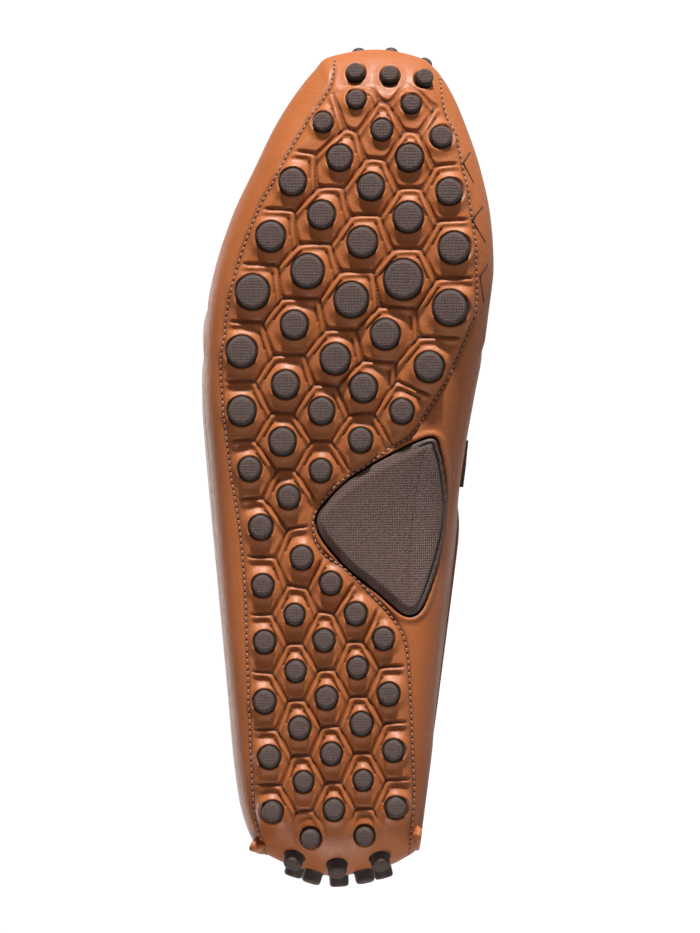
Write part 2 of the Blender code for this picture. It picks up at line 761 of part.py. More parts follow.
def taut(points):
    """The convex hull of points in a plane, anticlockwise."""
    points = sorted(set(map(tuple, points)))
    hull = []
    for run in (points, points[::-1]):
        chain = []
        for p in run:
            while len(chain) > 1:
                (ax, ay), (bx, by) = chain[-2], chain[-1]
                if (bx - ax) * (p[1] - ay) - (by - ay) * (p[0] - ax) > 0:
                    break
                chain.pop()
            chain.append(p)
        hull += chain[:-1]
    return np.array(hull)


def make_strap(upper, apron, material):
    """The saddle strap, pulled taut over the instep from side to side."""
    trees = [BVHTree.FromPolygons([v.co for v in piece.data.vertices],
                                  [f.vertices[:] for f in piece.data.polygons])
             for piece in (upper, apron)]
    far = BALL_WIDTH
    start, stop = radians(STRAP_END_ANGLE), radians(180 - STRAP_END_ANGLE)
    sheet = Sheet()
    ends = [STRAP_CENTRE - STRAP_WIDTH / LENGTH / 2, STRAP_CENTRE + STRAP_WIDTH / LENGTH / 2]
    ribs = [rib(i / (SIDE_RIBS - 1))[0][0] / LENGTH for i in range(SIDE_RIBS)]
    marks = sorted(ends + [along for along in ribs if ends[0] < along < ends[1]])
    stations = sorted(marks + [(a + b) / 2 for a, b in zip(marks, marks[1:])])
    for row, along in enumerate(stations):
        centre = np.array([along * LENGTH, spine_across(along), STRAP_CORE])
        section = []
        for angle in np.radians(np.linspace(-30, 210, 121)):
            way = Vector((0, cos(angle), sin(angle)))
            hits = [tree.ray_cast(Vector(centre) + way * far, -way)[3] for tree in trees]
            reach = max(far - hit for hit in hits if hit is not None)
            section.append((reach * cos(angle), reach * sin(angle)))
        hull = taut(section)
        step = (stop - start) / STRAP_STEPS
        for i in range(STRAP_STEPS + 1):
            angle = start + step * i
            near = angle + step * np.linspace(-0.75, 0.75, 7)
            reach = max(hull_reach(hull, other) for other in near) / cos(step / 2)
            way = np.array([0, cos(angle), sin(angle)])
            sheet.point((row, i), centre + way * (reach + STRAP_CLEAR + STRAP_WALL),
                        centre + way * (reach + STRAP_CLEAR))
    for row in range(len(stations) - 1):
        for i in range(STRAP_STEPS):
            sheet.face((row, i), (row + 1, i), (row + 1, i + 1), (row, i + 1))
    return make_piece("strap", sheet.mesh("strap"), material)


def hull_reach(hull, angle):
    """Distance from the centre to the hull's edge at an angle."""
    side = np.array([-sin(angle), cos(angle)])
    way = np.array([cos(angle), sin(angle)])
    nxt = np.roll(hull, -1, axis=0)
    a, b = hull @ side, nxt @ side
    crossing = (a * b <= 0) & (a != b)
    share = a[crossing] / (a[crossing] - b[crossing])
    reach = (hull @ way)[crossing] * (1 - share) + (nxt @ way)[crossing] * share
    return float(reach.max())


def make_heel_seam(name, low_turn, high_turn, material):
    """A raised seam up one corner of the heel, with an ear at its lower end."""
    sheet = Sheet()
    climbs = (1.45, 1.6, 1.8, 2.0, 2.25, 2.5, 2.75, 2.9)
    for j, climb in enumerate(climbs):
        share = j / (len(climbs) - 1)
        turn = low_turn + (high_turn - low_turn) * share ** 0.8
        height = HEEL_SEAM_HEIGHT + (HEEL_EAR - HEEL_SEAM_HEIGHT) * max(0.0, 1 - 4 * share)
        normal = Vector(skin_normal(turn, climb))
        foot = Vector(skin(turn, climb)) + normal * CLEAR
        ahead = Vector(skin(turn, climb + 0.02) - skin(turn, climb - 0.02))
        side = ahead.cross(normal).normalized() * HEEL_SEAM_WIDTH / 2
        sheet.point((j, -1), foot - side + normal * 0.4 * height, foot - side)
        sheet.point((j, 0), foot + normal * height, foot)
        sheet.point((j, 1), foot + side + normal * 0.4 * height, foot + side)
    for j in range(len(climbs) - 1):
        for a in (-1, 0):
            sheet.face((j, a), (j, a + 1), (j + 1, a + 1), (j + 1, a))
    return make_piece(name, sheet.mesh(name), material)


def resting_turn(pieces):
    """The turn that lays the hull's face under the middle of the shoe down flat.

    The hull of all points is searched for the face on the medial side, onto which
    the middle of the points falls when it is dropped straight onto that face.
    """
    work = bmesh.new()
    for piece in pieces:
        for vertex in piece.data.vertices:
            work.verts.new(vertex.co)
    middle = sum((v.co for v in work.verts), Vector()) / len(work.verts)
    hull = bmesh.ops.convex_hull(work, input=work.verts[:])
    best = None
    for face in (item for item in hull["geom"] if isinstance(item, bmesh.types.BMFace)):
        normal = face.normal.copy()
        if normal.dot(face.calc_center_median() - middle) < 0:
            normal = -normal
        corners = [v.co for v in face.verts]
        if normal.y < 0.5 or len(corners) != 3:
            continue
        down = middle + normal * normal.dot(corners[0] - middle)
        inside = [normal.dot((b - a).cross(down - a)) for a, b in
                  zip(corners, corners[1:] + corners[:1])]
        if min(inside) >= 0 or max(inside) <= 0:
            best = normal
    work.free()
    up = -best
    forward = (Vector((1, 0, 0)) - up * up.x).normalized()
    back = up.cross(forward)
    return Matrix((forward, back, up)).to_4x4()


def lie_down(holder, pieces):
    """Lay the shoe on the floor at Z = 0, its box centred on the origin."""
    turn = resting_turn(pieces)
    lowest = min((turn @ v.co).z for piece in pieces for v in piece.data.vertices)
    holder.matrix_world = Matrix.Translation((0, 0, -lowest - PRESS)) @ turn
    bpy.ops.mesh.primitive_cube_add(size=1, location=(0, 0, -0.5 * LENGTH))
    floor = bpy.context.active_object
    floor.name = "floor_press"
    floor.scale = (3 * LENGTH, 3 * LENGTH, LENGTH)
    for collection in floor.users_collection:
        collection.objects.unlink(floor)
    CUTTERS.objects.link(floor)
    floor.hide_render = True
    floor.display_type = "WIRE"
    for piece in pieces:
        low = min((holder.matrix_world @ v.co).z for v in piece.data.vertices)
        if low < 0:
            boolean(piece, "DIFFERENCE", cutter=floor)
    bpy.context.view_layer.update()
    graph = bpy.context.evaluated_depsgraph_get()
    corners = []
    for piece in pieces:
        seen = piece.evaluated_get(graph)
        corners += [seen.matrix_world @ Vector(v.co) for v in seen.data.vertices]
    middle_x = (min(c.x for c in corners) + max(c.x for c in corners)) / 2
    middle_y = (min(c.y for c in corners) + max(c.y for c in corners)) / 2
    shift = Matrix.Translation((-middle_x, -middle_y, 0))
    holder.matrix_world = shift @ holder.matrix_world


for old in list(bpy.data.objects):
    bpy.data.objects.remove(old)

PARTS = make_collection("driving_moccasin")
CUTTERS = make_collection("cutters")
STUDS = make_collection("studs")
HOLES = make_collection("stud_holes")

leather = make_material("tan_leather", TAN, 0.42)
dark_leather = make_material("strap_leather", DARK_TAN, 0.42)
rubber = make_material("taupe_rubber", TAUPE, 0.75)
pad_rubber = make_material("pad_rubber", TAUPE, 0.65)
sock = make_material("sock_leather", LINING, 0.60)

surface = fine_skin()
studs = stud_places(surface)
upper_piece = make_upper(leather)
apron_piece = make_apron(leather)
outsole_piece = make_outsole(studs, rubber)
insole_piece = make_insole(sock)
strap_piece = make_strap(upper_piece, apron_piece, dark_leather)
pad_piece = make_arch_pad(surface, upper_piece, pad_rubber)
cut_stud_holes(upper_piece, studs)
seam_medial = make_heel_seam("heel_seam_medial", *MEDIAL_SEAM, leather)
seam_lateral = make_heel_seam("heel_seam_lateral", *LATERAL_SEAM, leather)

shoe = bpy.data.objects.new("shoe", None)
bpy.context.scene.collection.objects.link(shoe)
all_pieces = [upper_piece, apron_piece, outsole_piece, insole_piece, strap_piece,
              pad_piece, seam_medial, seam_lateral]
for child in all_pieces + list(STUDS.objects) + list(HOLES.objects) + list(CUTTERS.objects):
    child.parent = shoe
lie_down(shoe, all_pieces)
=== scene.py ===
"""A tan driving moccasin, right shoe, lying on its inner side with the sole to the camera.

The shapes are worked out in the standing shoe's own frame, as in the CAD part: x runs
from the heel's back to the toe, y to the inner (medial) side, z up from the studs' ends.
LYING then lays every point down as the CAD part lies.
"""
import bpy
import bmesh
import numpy as np
from mathutils import Matrix, Vector


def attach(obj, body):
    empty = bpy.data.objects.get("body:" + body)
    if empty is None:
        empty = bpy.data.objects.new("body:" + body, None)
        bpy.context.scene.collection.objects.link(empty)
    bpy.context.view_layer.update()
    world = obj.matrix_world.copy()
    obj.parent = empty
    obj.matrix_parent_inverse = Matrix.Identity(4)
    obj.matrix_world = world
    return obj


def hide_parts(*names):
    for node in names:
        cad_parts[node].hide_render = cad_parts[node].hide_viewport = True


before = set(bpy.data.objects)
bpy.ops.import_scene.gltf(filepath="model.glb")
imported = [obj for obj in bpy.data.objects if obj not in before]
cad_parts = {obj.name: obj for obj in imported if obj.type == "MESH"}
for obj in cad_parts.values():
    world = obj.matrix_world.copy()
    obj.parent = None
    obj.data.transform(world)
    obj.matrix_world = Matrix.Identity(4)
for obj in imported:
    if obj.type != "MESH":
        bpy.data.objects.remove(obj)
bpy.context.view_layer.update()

# The last: the form that the shoe was pulled over. It carries every other piece. Its
# outline is a few millimetres fuller than the CAD part's at the heel's corners and the toe.
LENGTH = 0.2865
BALL_WIDTH = 0.0995
HEEL_HEIGHT = 0.066
INSTEP_HEIGHT = 0.080
TOE_SPRING = 0.012
ARCH_RISE = 0.004
TURN_REACH = 0.020
TURN_HEIGHT = 0.020
APRON_INSET = 0.019
WALL = 0.0020
STUD_HEIGHT = 0.0040
HEEL_CENTRE, TOE_CENTRE = 0.125, 0.875

LYING = np.array([
    (0.9918324, 0.1274342, 0.0053692),
    (0.0, -0.0420961, 0.9991134),
    (0.1275473, -0.9909531, -0.0417523),
])
LYING_PLACE = np.array([-0.1431136, -0.0430194, 0.0279870])

OUTLINE = np.array([
    # along, lateral, medial
    (0.010, 0.136, 0.150), (0.022, 0.224, 0.232), (0.038, 0.288, 0.284), (0.080, 0.336, 0.310),
    (0.140, 0.363, 0.328), (0.220, 0.384, 0.344), (0.320, 0.411, 0.374),
    (0.420, 0.436, 0.404), (0.500, 0.455, 0.434), (0.580, 0.472, 0.476),
    (0.660, 0.466, 0.522), (0.730, 0.434, 0.546), (0.800, 0.370, 0.536),
    (0.860, 0.290, 0.499), (0.910, 0.221, 0.450), (0.950, 0.150, 0.400),
    (0.980, 0.082, 0.342), (0.996, 0.030, 0.276),
])
HEEL_BACK_ACROSS, TOE_TIP_ACROSS, TOE_TIP_ALONG = -0.012, 0.130, 1.005

BOTTOM = np.array([
    # along, rise, lift, reach lateral, reach medial, up lateral, up medial
    (0.00, 0.10, 0.0, 0.95, 0.95, 1.00, 1.00),
    (0.10, 0.00, 0.0, 0.60, 0.65, 0.85, 0.85),
    (0.25, 0.08, 0.2, 0.48, 0.58, 0.80, 0.85),
    (0.42, 0.24, 1.0, 0.46, 0.72, 0.80, 0.90),
    (0.55, 0.12, 0.7, 0.46, 0.64, 0.80, 0.85),
    (0.72, 0.00, 0.0, 0.46, 0.48, 0.75, 0.75),
    (0.85, 0.20, 0.0, 0.60, 0.60, 0.72, 0.72),
    (0.94, 0.60, 0.0, 0.95, 0.90, 0.66, 0.66),
    (1.00, 1.00, 0.0, 1.10, 1.10, 0.62, 0.62),
])

RIM = np.array([
    # along, height lateral, height medial, inset lateral, inset medial, lean
    (0.00, 0.94, 0.94, 0.18, 0.18, 4), (0.10, 0.88, 0.88, 0.16, 0.15, 4),
    (0.24, 0.72, 0.72, 0.14, 0.10, 3), (0.36, 0.71, 0.71, 0.22, 0.06, 3),
    (0.44, 0.81, 0.80, 0.42, 0.12, 8), (0.50, 0.93, 0.92, 0.66, 0.35, 24),
    (0.60, 0.87, 0.87, 0.90, 0.76, 44), (0.70, 0.79, 0.79, 1.00, 0.96, 50),
    (0.80, 0.72, 0.72, 1.00, 1.00, 52), (0.90, 0.69, 0.69, 0.86, 0.86, 48),
    (1.00, 0.67, 0.67, 0.68, 0.68, 44),
])


def smooth_line(points, steps, closed=False):
    """Catmull-Rom line: each span blends its two points and their neighbours by cubes."""
    points = np.asarray(points, float)
    count = len(points)
    spans = np.arange(count if closed else count - 1)
    wrap = (lambda i: i % count) if closed else (lambda i: np.clip(i, 0, count - 1))
    p0, p1, p2, p3 = (points[wrap(spans + k)][:, None] for k in (-1, 0, 1, 2))
    t = (np.arange(steps) / steps)[None, :, None]
    line = 0.5 * (2 * p1 + (p2 - p0) * t + (2 * p0 - 5 * p1 + 4 * p2 - p3) * t ** 2
                  + (3 * p1 - p0 - 3 * p2 + p3) * t ** 3)
    line = line.reshape(-1, points.shape[1])
    return line if closed else np.vstack([line, points[-1:]])


def column(table, along, number):
    """A table's column read at places along the shoe, from a smooth line."""
    line = smooth_line(table[:, [0, number]], 12)
    return np.interp(along, line[:, 0], line[:, 1])


def both_sides(table, along, number, side):
    """The lateral column and the medial one after it, mixed by side from -1 to 1."""
    lateral = column(table, along, number)
    return lateral + (column(table, along, number + 1) - lateral) * (1 + side) / 2


EDGE = smooth_line([(0.0, HEEL_BACK_ACROSS), *OUTLINE[:, [0, 2]], (TOE_TIP_ALONG, TOE_TIP_ACROSS),
                    *(OUTLINE[::-1, [0, 1]] * (1, -1))], 16, closed=True)
EDGE = EDGE * (LENGTH, BALL_WIDTH)


def spine_across(along):
    """The line midway between the outline's two sides."""
    along = np.clip(along, OUTLINE[0, 0], OUTLINE[-1, 0])
    return (column(OUTLINE, along, 2) - column(OUTLINE, along, 1)) / 2 * BALL_WIDTH


def reach_to_edge(start, angle):
    """Distances in plan from spine points to the outline, where the rays cross it."""
    way = np.stack([np.cos(angle), np.sin(angle)], -1)[:, None]
    gap = EDGE[None] - start[:, None]
    off = gap[..., 1] * way[..., 0] - gap[..., 0] * way[..., 1]
    ahead = (gap * way).sum(-1)
    off_next, ahead_next = np.roll(off, -1, 1), np.roll(ahead, -1, 1)
    crossing = (off * off_next <= 0) & (off != off_next)
    share = off / np.where(crossing, off - off_next, 1)
    reach = np.where(crossing, ahead + share * (ahead_next - ahead), -1)
    return reach.max(1)


def ribs(turn):
    """Spine point, angle and edge distance of the ribs at turns of 0 to 4 round the shoe."""
    turn = np.asarray(turn, float) % 4
    span = TOE_CENTRE - HEEL_CENTRE
    zones = [turn <= 1, turn <= 2, turn <= 3]
    along = np.select(zones, [HEEL_CENTRE + span * turn, TOE_CENTRE + 0 * turn,
                              TOE_CENTRE - span * (turn - 2)], HEEL_CENTRE)
    angle = np.pi * np.select(zones, [0.5 + 0 * turn, 1.5 - turn, -0.5 + 0 * turn], 2.5 - turn)
    start = np.stack([along * LENGTH, spine_across(along)], -1)
    return start, angle, reach_to_edge(start, angle)


def bottom_height(along):
    """Height of the leather under the spine."""
    return STUD_HEIGHT + TOE_SPRING * column(BOTTOM, along, 1)


def skin(turn, climb):
    """The last's skin: climb 0 to 1 over the bottom, 1 to 2 a quarter of an ellipse
    round the edge, 2 to 3 a cubic up the wall. turn and climb broadcast together."""
    start, angle, edge = ribs(turn)
    side = np.sin(angle)
    along = (start[:, 0] + edge * np.cos(angle)) / LENGTH
    reach = TURN_REACH * both_sides(BOTTOM, along, 3, side)
    up = TURN_HEIGHT * both_sides(BOTTOM, along, 5, side)
    rim_height = HEEL_HEIGHT * both_sides(RIM, along, 1, side)
    rim_out = edge - APRON_INSET * both_sides(RIM, along, 3, side)
    lean = np.radians(column(RIM, along, 5))
    x0, y0, cosine, sine, edge, reach, up, rim_height, rim_out, lean, side = (
        a[:, None] for a in (start[:, 0], start[:, 1], np.cos(angle), np.sin(angle), edge,
                             reach, up, rim_height, rim_out, lean, side))
    climb = np.broadcast_to(climb, (len(start), np.shape(climb)[-1]))
    theta = np.clip(climb - 1, 0, 1) * np.pi / 2
    flat = edge - reach
    out = flat * np.minimum(climb, 1) + reach * np.sin(theta)
    here = (x0 + out * cosine) / LENGTH
    lift = ARCH_RISE * column(BOTTOM, here, 2) * (np.minimum(out / flat, 1) * np.maximum(side, 0)) ** 2
    height = bottom_height(here) + lift + up * (1 - np.cos(theta))
    t = np.clip(climb - 2, 0, 1)
    handle = 0.45 * (rim_height - height)
    wall_out = ((1 - t) ** 3 + 3 * (1 - t) ** 2 * t) * edge + t ** 3 * rim_out
    wall_out = wall_out + 3 * (1 - t) * t ** 2 * (rim_out + np.sin(lean) * handle)
    wall_height = ((1 - t) ** 3 * height + 3 * (1 - t) ** 2 * t * (height + handle)
                   + 3 * (1 - t) * t ** 2 * (rim_height - np.cos(lean) * handle)
                   + t ** 3 * rim_height)
    out = np.where(climb > 2, wall_out, out)
    height = np.where(climb > 2, wall_height, height)
    return np.stack([x0 + out * cosine, y0 + out * sine, height], -1)


def grid_normals(points, closed=False):
    """Unit normals of a grid of points: the cross product of its two central differences."""
    if closed:
        rows = np.roll(points, -1, 0) - np.roll(points, 1, 0)
    else:
        rows = np.gradient(points, axis=0)
    normal = np.cross(np.gradient(points, axis=1), rows)
    return normal / np.maximum(np.linalg.norm(normal, axis=-1, keepdims=True), 1e-12)


def step(x, low, high):
    """Rises smoothly from 0 at low to 1 at high."""
    t = np.clip((x - low) / (high - low), 0, 1)
    return t * t * (3 - 2 * t)


def grid_faces(rows, columns, closed=False, first=0):
    """Quads of a grid, rows by columns, whose last row may join the first."""
    i = np.arange(rows if closed else rows - 1)[:, None]
    j = np.arange(columns - 1)[None]
    k = (i + 1) % rows
    quads = np.stack([i * columns + j, i * columns + j + 1, k * columns + j + 1, k * columns + j], -1)
    return quads.reshape(-1, 4) + first


def make_piece(name, points, faces, material, masks=None, uv=None):
    """A piece from arrays of points and quads, laid down with the shoe and kept above the
    floor. Masks become float attributes of its points."""
    points = np.asarray(points, float).reshape(-1, 3)
    points = points @ LYING.T + LYING_PLACE
    points[:, 2] = np.maximum(points[:, 2], 0.0)
    mesh = bpy.data.meshes.new(name)
    mesh.vertices.add(len(points))
    mesh.vertices.foreach_set("co", points.astype(np.float32).ravel())
    faces = np.asarray(faces)
    mesh.loops.add(faces.size)
    mesh.loops.foreach_set("vertex_index", faces.astype(np.int32).ravel())
    mesh.polygons.add(len(faces))
    mesh.polygons.foreach_set("loop_start", np.arange(0, faces.size, faces.shape[1], dtype=np.int32))
    mesh.update(calc_edges=True)
    mesh.validate()
    for mask, values in (masks or {}).items():
        layer = mesh.attributes.new(mask, "FLOAT", "POINT")
        layer.data.foreach_set("value", np.asarray(values, np.float32).ravel())
    if uv is not None:
        layer = mesh.uv_layers.new(name="surface")
        corner = np.zeros(len(mesh.loops), np.int32)
        mesh.loops.foreach_get("vertex_index", corner)
        layer.data.foreach_set("uv", np.asarray(uv, np.float32).reshape(-1, 2)[corner].ravel())
    mesh.shade_smooth()
    mesh.materials.append(material)
    piece = bpy.data.objects.new(name, mesh)
    bpy.context.scene.collection.objects.link(piece)
    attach(piece, "root")
    return piece


# The upper: one side of full-grain calf, wrapped under the foot, pressed between hot
# plates into a honeycomb round the studs, and smooth up the walls. Aniline dye, light wax.
STUD_WIDTH = 0.0145
SPLIT_CLIMB = 1.70        # the bottom's grid hands over to the wall's here
CELL = 0.00034            # the bottom's grid
DOME_HEIGHT = 0.0015      # leather swells round a stud
DOME_REACH = 0.0050
RIB_HEIGHT = 0.00060      # the pressed honeycomb line
RIB_INSIDE = 0.0012
RIB_HALF = 0.0014
LEDGE_HEIGHT = 0.0009
ROUND_CORNER = 0.0006     # how softly a cell's sides run into each other
SLIT_DEPTH = 0.0006
SLIT_INSIDE = 0.0024
SLIT_HALF = 0.00030
GROOVE_DEPTH = 0.00055    # the sewn lines
GROOVE_HALF = 0.0008
CELL_STRETCH = 1.9        # cells count distance across this much more at the heel, which makes
BALL_STRETCH = 1.2        # their sides steep and their tops flat, and these much more at the
TOE_STRETCH = 1.8         # ball and at the toe

STUD_ROWS = np.array([
    # along, slant, lateral, medial, count, size lateral, size medial
    (0.975, -0.007, 0.066, 0.304, 3, 0.46, 0.46), (0.942, -0.006, 0.070, 0.261, 2, 0.48, 0.48),
    (0.914, -0.018, -0.045, 0.366, 3, 0.50, 0.56), (0.871, 0.000, 0.014, 0.258, 2, 0.64, 0.69),
    (0.842, -0.012, -0.150, 0.397, 3, 0.68, 0.66), (0.802, -0.003, -0.049, 0.254, 2, 0.69, 0.76),
    (0.776, -0.014, -0.226, 0.414, 3, 0.74, 0.79), (0.734, -0.010, -0.097, 0.237, 2, 0.84, 1.00),
    (0.709, -0.019, -0.289, 0.400, 3, 0.86, 0.88), (0.669, -0.011, -0.143, 0.174, 2, 0.69, 0.74),
    (0.637, -0.018, -0.327, 0.326, 3, 0.78, 0.74), (0.597, -0.004, -0.174, 0.097, 2, 0.69, 0.69),
    (0.565, 0.000, -0.327, 0.230, 3, 0.72, 0.60), (0.528, 0.002, -0.185, 0.087, 2, 0.69, 0.60),
    (0.495, -0.002, -0.299, -0.052, 2, 0.60, 0.57), (0.461, 0.000, -0.164, -0.164, 1, 0.60, 0.60),
    (0.424, 0.000, -0.261, -0.261, 1, 0.64, 0.64), (0.387, 0.000, -0.118, -0.118, 1, 0.62, 0.62),
    (0.353, 0.003, -0.254, -0.017, 2, 0.60, 0.60), (0.318, 0.001, -0.143, 0.070, 2, 0.56, 0.60),
    (0.285, 0.004, -0.247, 0.167, 3, 0.60, 0.58), (0.250, 0.004, -0.139, 0.077, 2, 0.57, 0.57),
    (0.213, 0.009, -0.247, 0.185, 3, 0.62, 0.60), (0.181, 0.005, -0.125, 0.091, 2, 0.60, 0.62),
    (0.146, 0.008, -0.230, 0.202, 3, 0.60, 0.57), (0.116, 0.002, -0.111, 0.097, 2, 0.55, 0.53),
    (0.080, 0.005, -0.219, 0.209, 3, 0.57, 0.57), (0.048, 0.003, -0.087, 0.101, 2, 0.55, 0.53),
])
SEEN_HEEL, SEEN_TOE = 0.83, 0.91   # the studs show at this share of the CAD part's width
END_STUD_ROWS = np.array([
    # end, height of HEEL_HEIGHT, lateral, medial, count, size
    (1, 0.535, 0.070, 0.290, 3, 0.36), (-1, 0.190, -0.146, 0.150, 3, 0.47),
    (-1, 0.330, -0.084, 0.090, 2, 0.47), (-1, 0.475, -0.150, 0.150, 3, 0.47),
])
PAD_OUTLINE = np.array([
    # along, across
    (0.531, 0.318), (0.516, 0.356), (0.480, 0.372), (0.440, 0.376), (0.395, 0.355),
    (0.346, 0.316), (0.322, 0.284), (0.320, 0.235), (0.345, 0.150), (0.383, 0.020),
    (0.428, -0.066), (0.463, -0.008), (0.495, 0.110),
])
LATERAL_SEAM = np.array([
    # along, across
    (0.994, -0.009), (0.957, -0.027), (0.913, -0.107), (0.876, -0.170), (0.842, -0.218),
    (0.814, -0.264), (0.751, -0.333), (0.687, -0.379), (0.652, -0.389), (0.617, -0.403),
    (0.582, -0.396), (0.501, -0.372), (0.425, -0.337), (0.343, -0.316), (0.267, -0.309),
    (0.156, -0.299), (0.081, -0.288), (0.056, -0.273), (0.027, -0.249),
])
MEDIAL_SEAM = np.array([
    # along, across
    (0.972, 0.356), (0.931, 0.377), (0.888, 0.426), (0.837, 0.457), (0.781, 0.485),
    (0.705, 0.495), (0.666, 0.471), (0.614, 0.405), (0.573, 0.335), (0.536, 0.262),
    (0.518, 0.182), (0.498, 0.102), (0.483, 0.029), (0.464, -0.027), (0.439, -0.075),
    (0.412, -0.075), (0.393, -0.044), (0.374, 0.029), (0.346, 0.115), (0.313, 0.200),
    (0.281, 0.245), (0.220, 0.262), (0.132, 0.273), (0.098, 0.276), (0.037, 0.256),
    (0.021, 0.246),
])
SCALE = np.array([LENGTH, BALL_WIDTH])
lateral_line = smooth_line(LATERAL_SEAM * SCALE, 10)
medial_line = smooth_line(MEDIAL_SEAM * SCALE, 10)
pad_line = smooth_line(PAD_OUTLINE * SCALE, 12, closed=True)
field_line = np.vstack([lateral_line, medial_line[::-1]])

stud_feet, stud_sizes = [], []
for along, slant, lateral, medial, count, size_lateral, size_medial in STUD_ROWS:
    share = np.linspace(0, 1, int(count)) if count > 1 else np.zeros(1)
    stud_feet.append(np.stack([along + slant * share, lateral + (medial - lateral) * share], -1))
    stud_sizes.append(size_lateral + (size_medial - size_lateral) * share)
stud_feet = np.vstack(stud_feet) * SCALE
seen_share = SEEN_HEEL + (SEEN_TOE - SEEN_HEEL) * step(stud_feet[:, 0] / LENGTH, 0.35, 0.60)
stud_radii = np.concatenate(stud_sizes) * STUD_WIDTH / 2 * seen_share

# The columns of studs lean as they run to the toe: where two studs of a column stand one
# behind the other, how much they step across for each step along.
pair = stud_feet[None] - stud_feet[:, None]
behind, ahead_of = np.nonzero((pair[..., 0] > 0.014) & (pair[..., 0] < 0.024)
                              & (np.abs(pair[..., 1]) < 0.6 * pair[..., 0]))
column_spots = (stud_feet[behind] + stud_feet[ahead_of]) / 2
column_leans = pair[behind, ahead_of, 1] / pair[behind, ahead_of, 0]

fan_turns = {1: np.linspace(1, 2, 181), -1: np.linspace(3, 4, 181)}
fan_edges = {end: ribs(np.clip(turns, 0, 3.9999)) for end, turns in fan_turns.items()}


def under(x, y):
    """Height of the last's bottom over a point of the plan: the same ellipse as skin,
    but with the rib found from the point. Also how far out it lies, as a climb."""
    along = x / LENGTH
    spine = spine_across(np.clip(along, HEEL_CENTRE, TOE_CENTRE))
    middle = np.clip(along, HEEL_CENTRE, TOE_CENTRE) * LENGTH
    dx, dy = x - middle, y - spine
    out = np.hypot(dx, dy)
    cosine, sine = dx / np.maximum(out, 1e-9), dy / np.maximum(out, 1e-9)
    half = len(EDGE) // 2
    medial_edge = np.interp(x, EDGE[:half, 0], EDGE[:half, 1])
    lateral_edge = np.interp(x, EDGE[:half - 1:-1, 0], EDGE[:half - 1:-1, 1])
    edge = np.where(dy > 0, medial_edge - spine, spine - lateral_edge)
    toe_angle = np.arctan2(dy, dx)
    toe_edge = np.interp(-toe_angle, -fan_edges[1][1], fan_edges[1][2])
    heel_angle = np.arctan2(dy, -dx)
    heel_edge = np.interp(heel_angle, np.linspace(-np.pi / 2, np.pi / 2, 181), fan_edges[-1][2])
    edge = np.where(along > TOE_CENTRE, toe_edge, np.where(along < HEEL_CENTRE, heel_edge, edge))
    edge_along = (middle + edge * cosine) / LENGTH
    reach = TURN_REACH * both_sides(BOTTOM, edge_along, 3, sine)
    up = TURN_HEIGHT * both_sides(BOTTOM, edge_along, 5, sine)
    flat = edge - reach
    theta = np.arcsin(np.clip((out - flat) / reach, 0, 0.9999))
    lift = ARCH_RISE * column(BOTTOM, along, 2) * (np.minimum(out / flat, 1) * np.maximum(sine, 0)) ** 2
    height = bottom_height(along) + lift + up * (1 - np.cos(theta))
    return height, np.where(out < flat, out / flat, 1 + theta / (np.pi / 2))


def line_distance(x, y, line, closed=False, limit=0.012):
    """Distance in plan from points to a line; farther than the limit it stays at the limit."""
    ends = np.roll(line, -1, 0) if closed else line[1:]
    starts = line if closed else line[:-1]
    best = np.full(x.shape, limit)
    for (ax, ay), (bx, by) in zip(starts, ends):
        near = (np.abs(x - ax) < limit) & (np.abs(y - ay) < limit)
        px, py = x[near], y[near]
        length = max((bx - ax) ** 2 + (by - ay) ** 2, 1e-12)
        t = np.clip(((px - ax) * (bx - ax) + (py - ay) * (by - ay)) / length, 0, 1)
        best[near] = np.minimum(best[near], np.hypot(px - ax - t * (bx - ax), py - ay - t * (by - ay)))
    return best


def inside(x, y, line):
    """Whether points of the plan lie inside a closed line, by counting its crossings."""
    ends = np.roll(line, -1, 0)
    odd = np.zeros(x.shape, bool)
    for (ax, ay), (bx, by) in zip(line, ends):
        if ay != by:
            odd ^= ((y < ay) != (y < by)) & (x < ax + (y - ay) * (bx - ax) / (by - ay))
    return odd


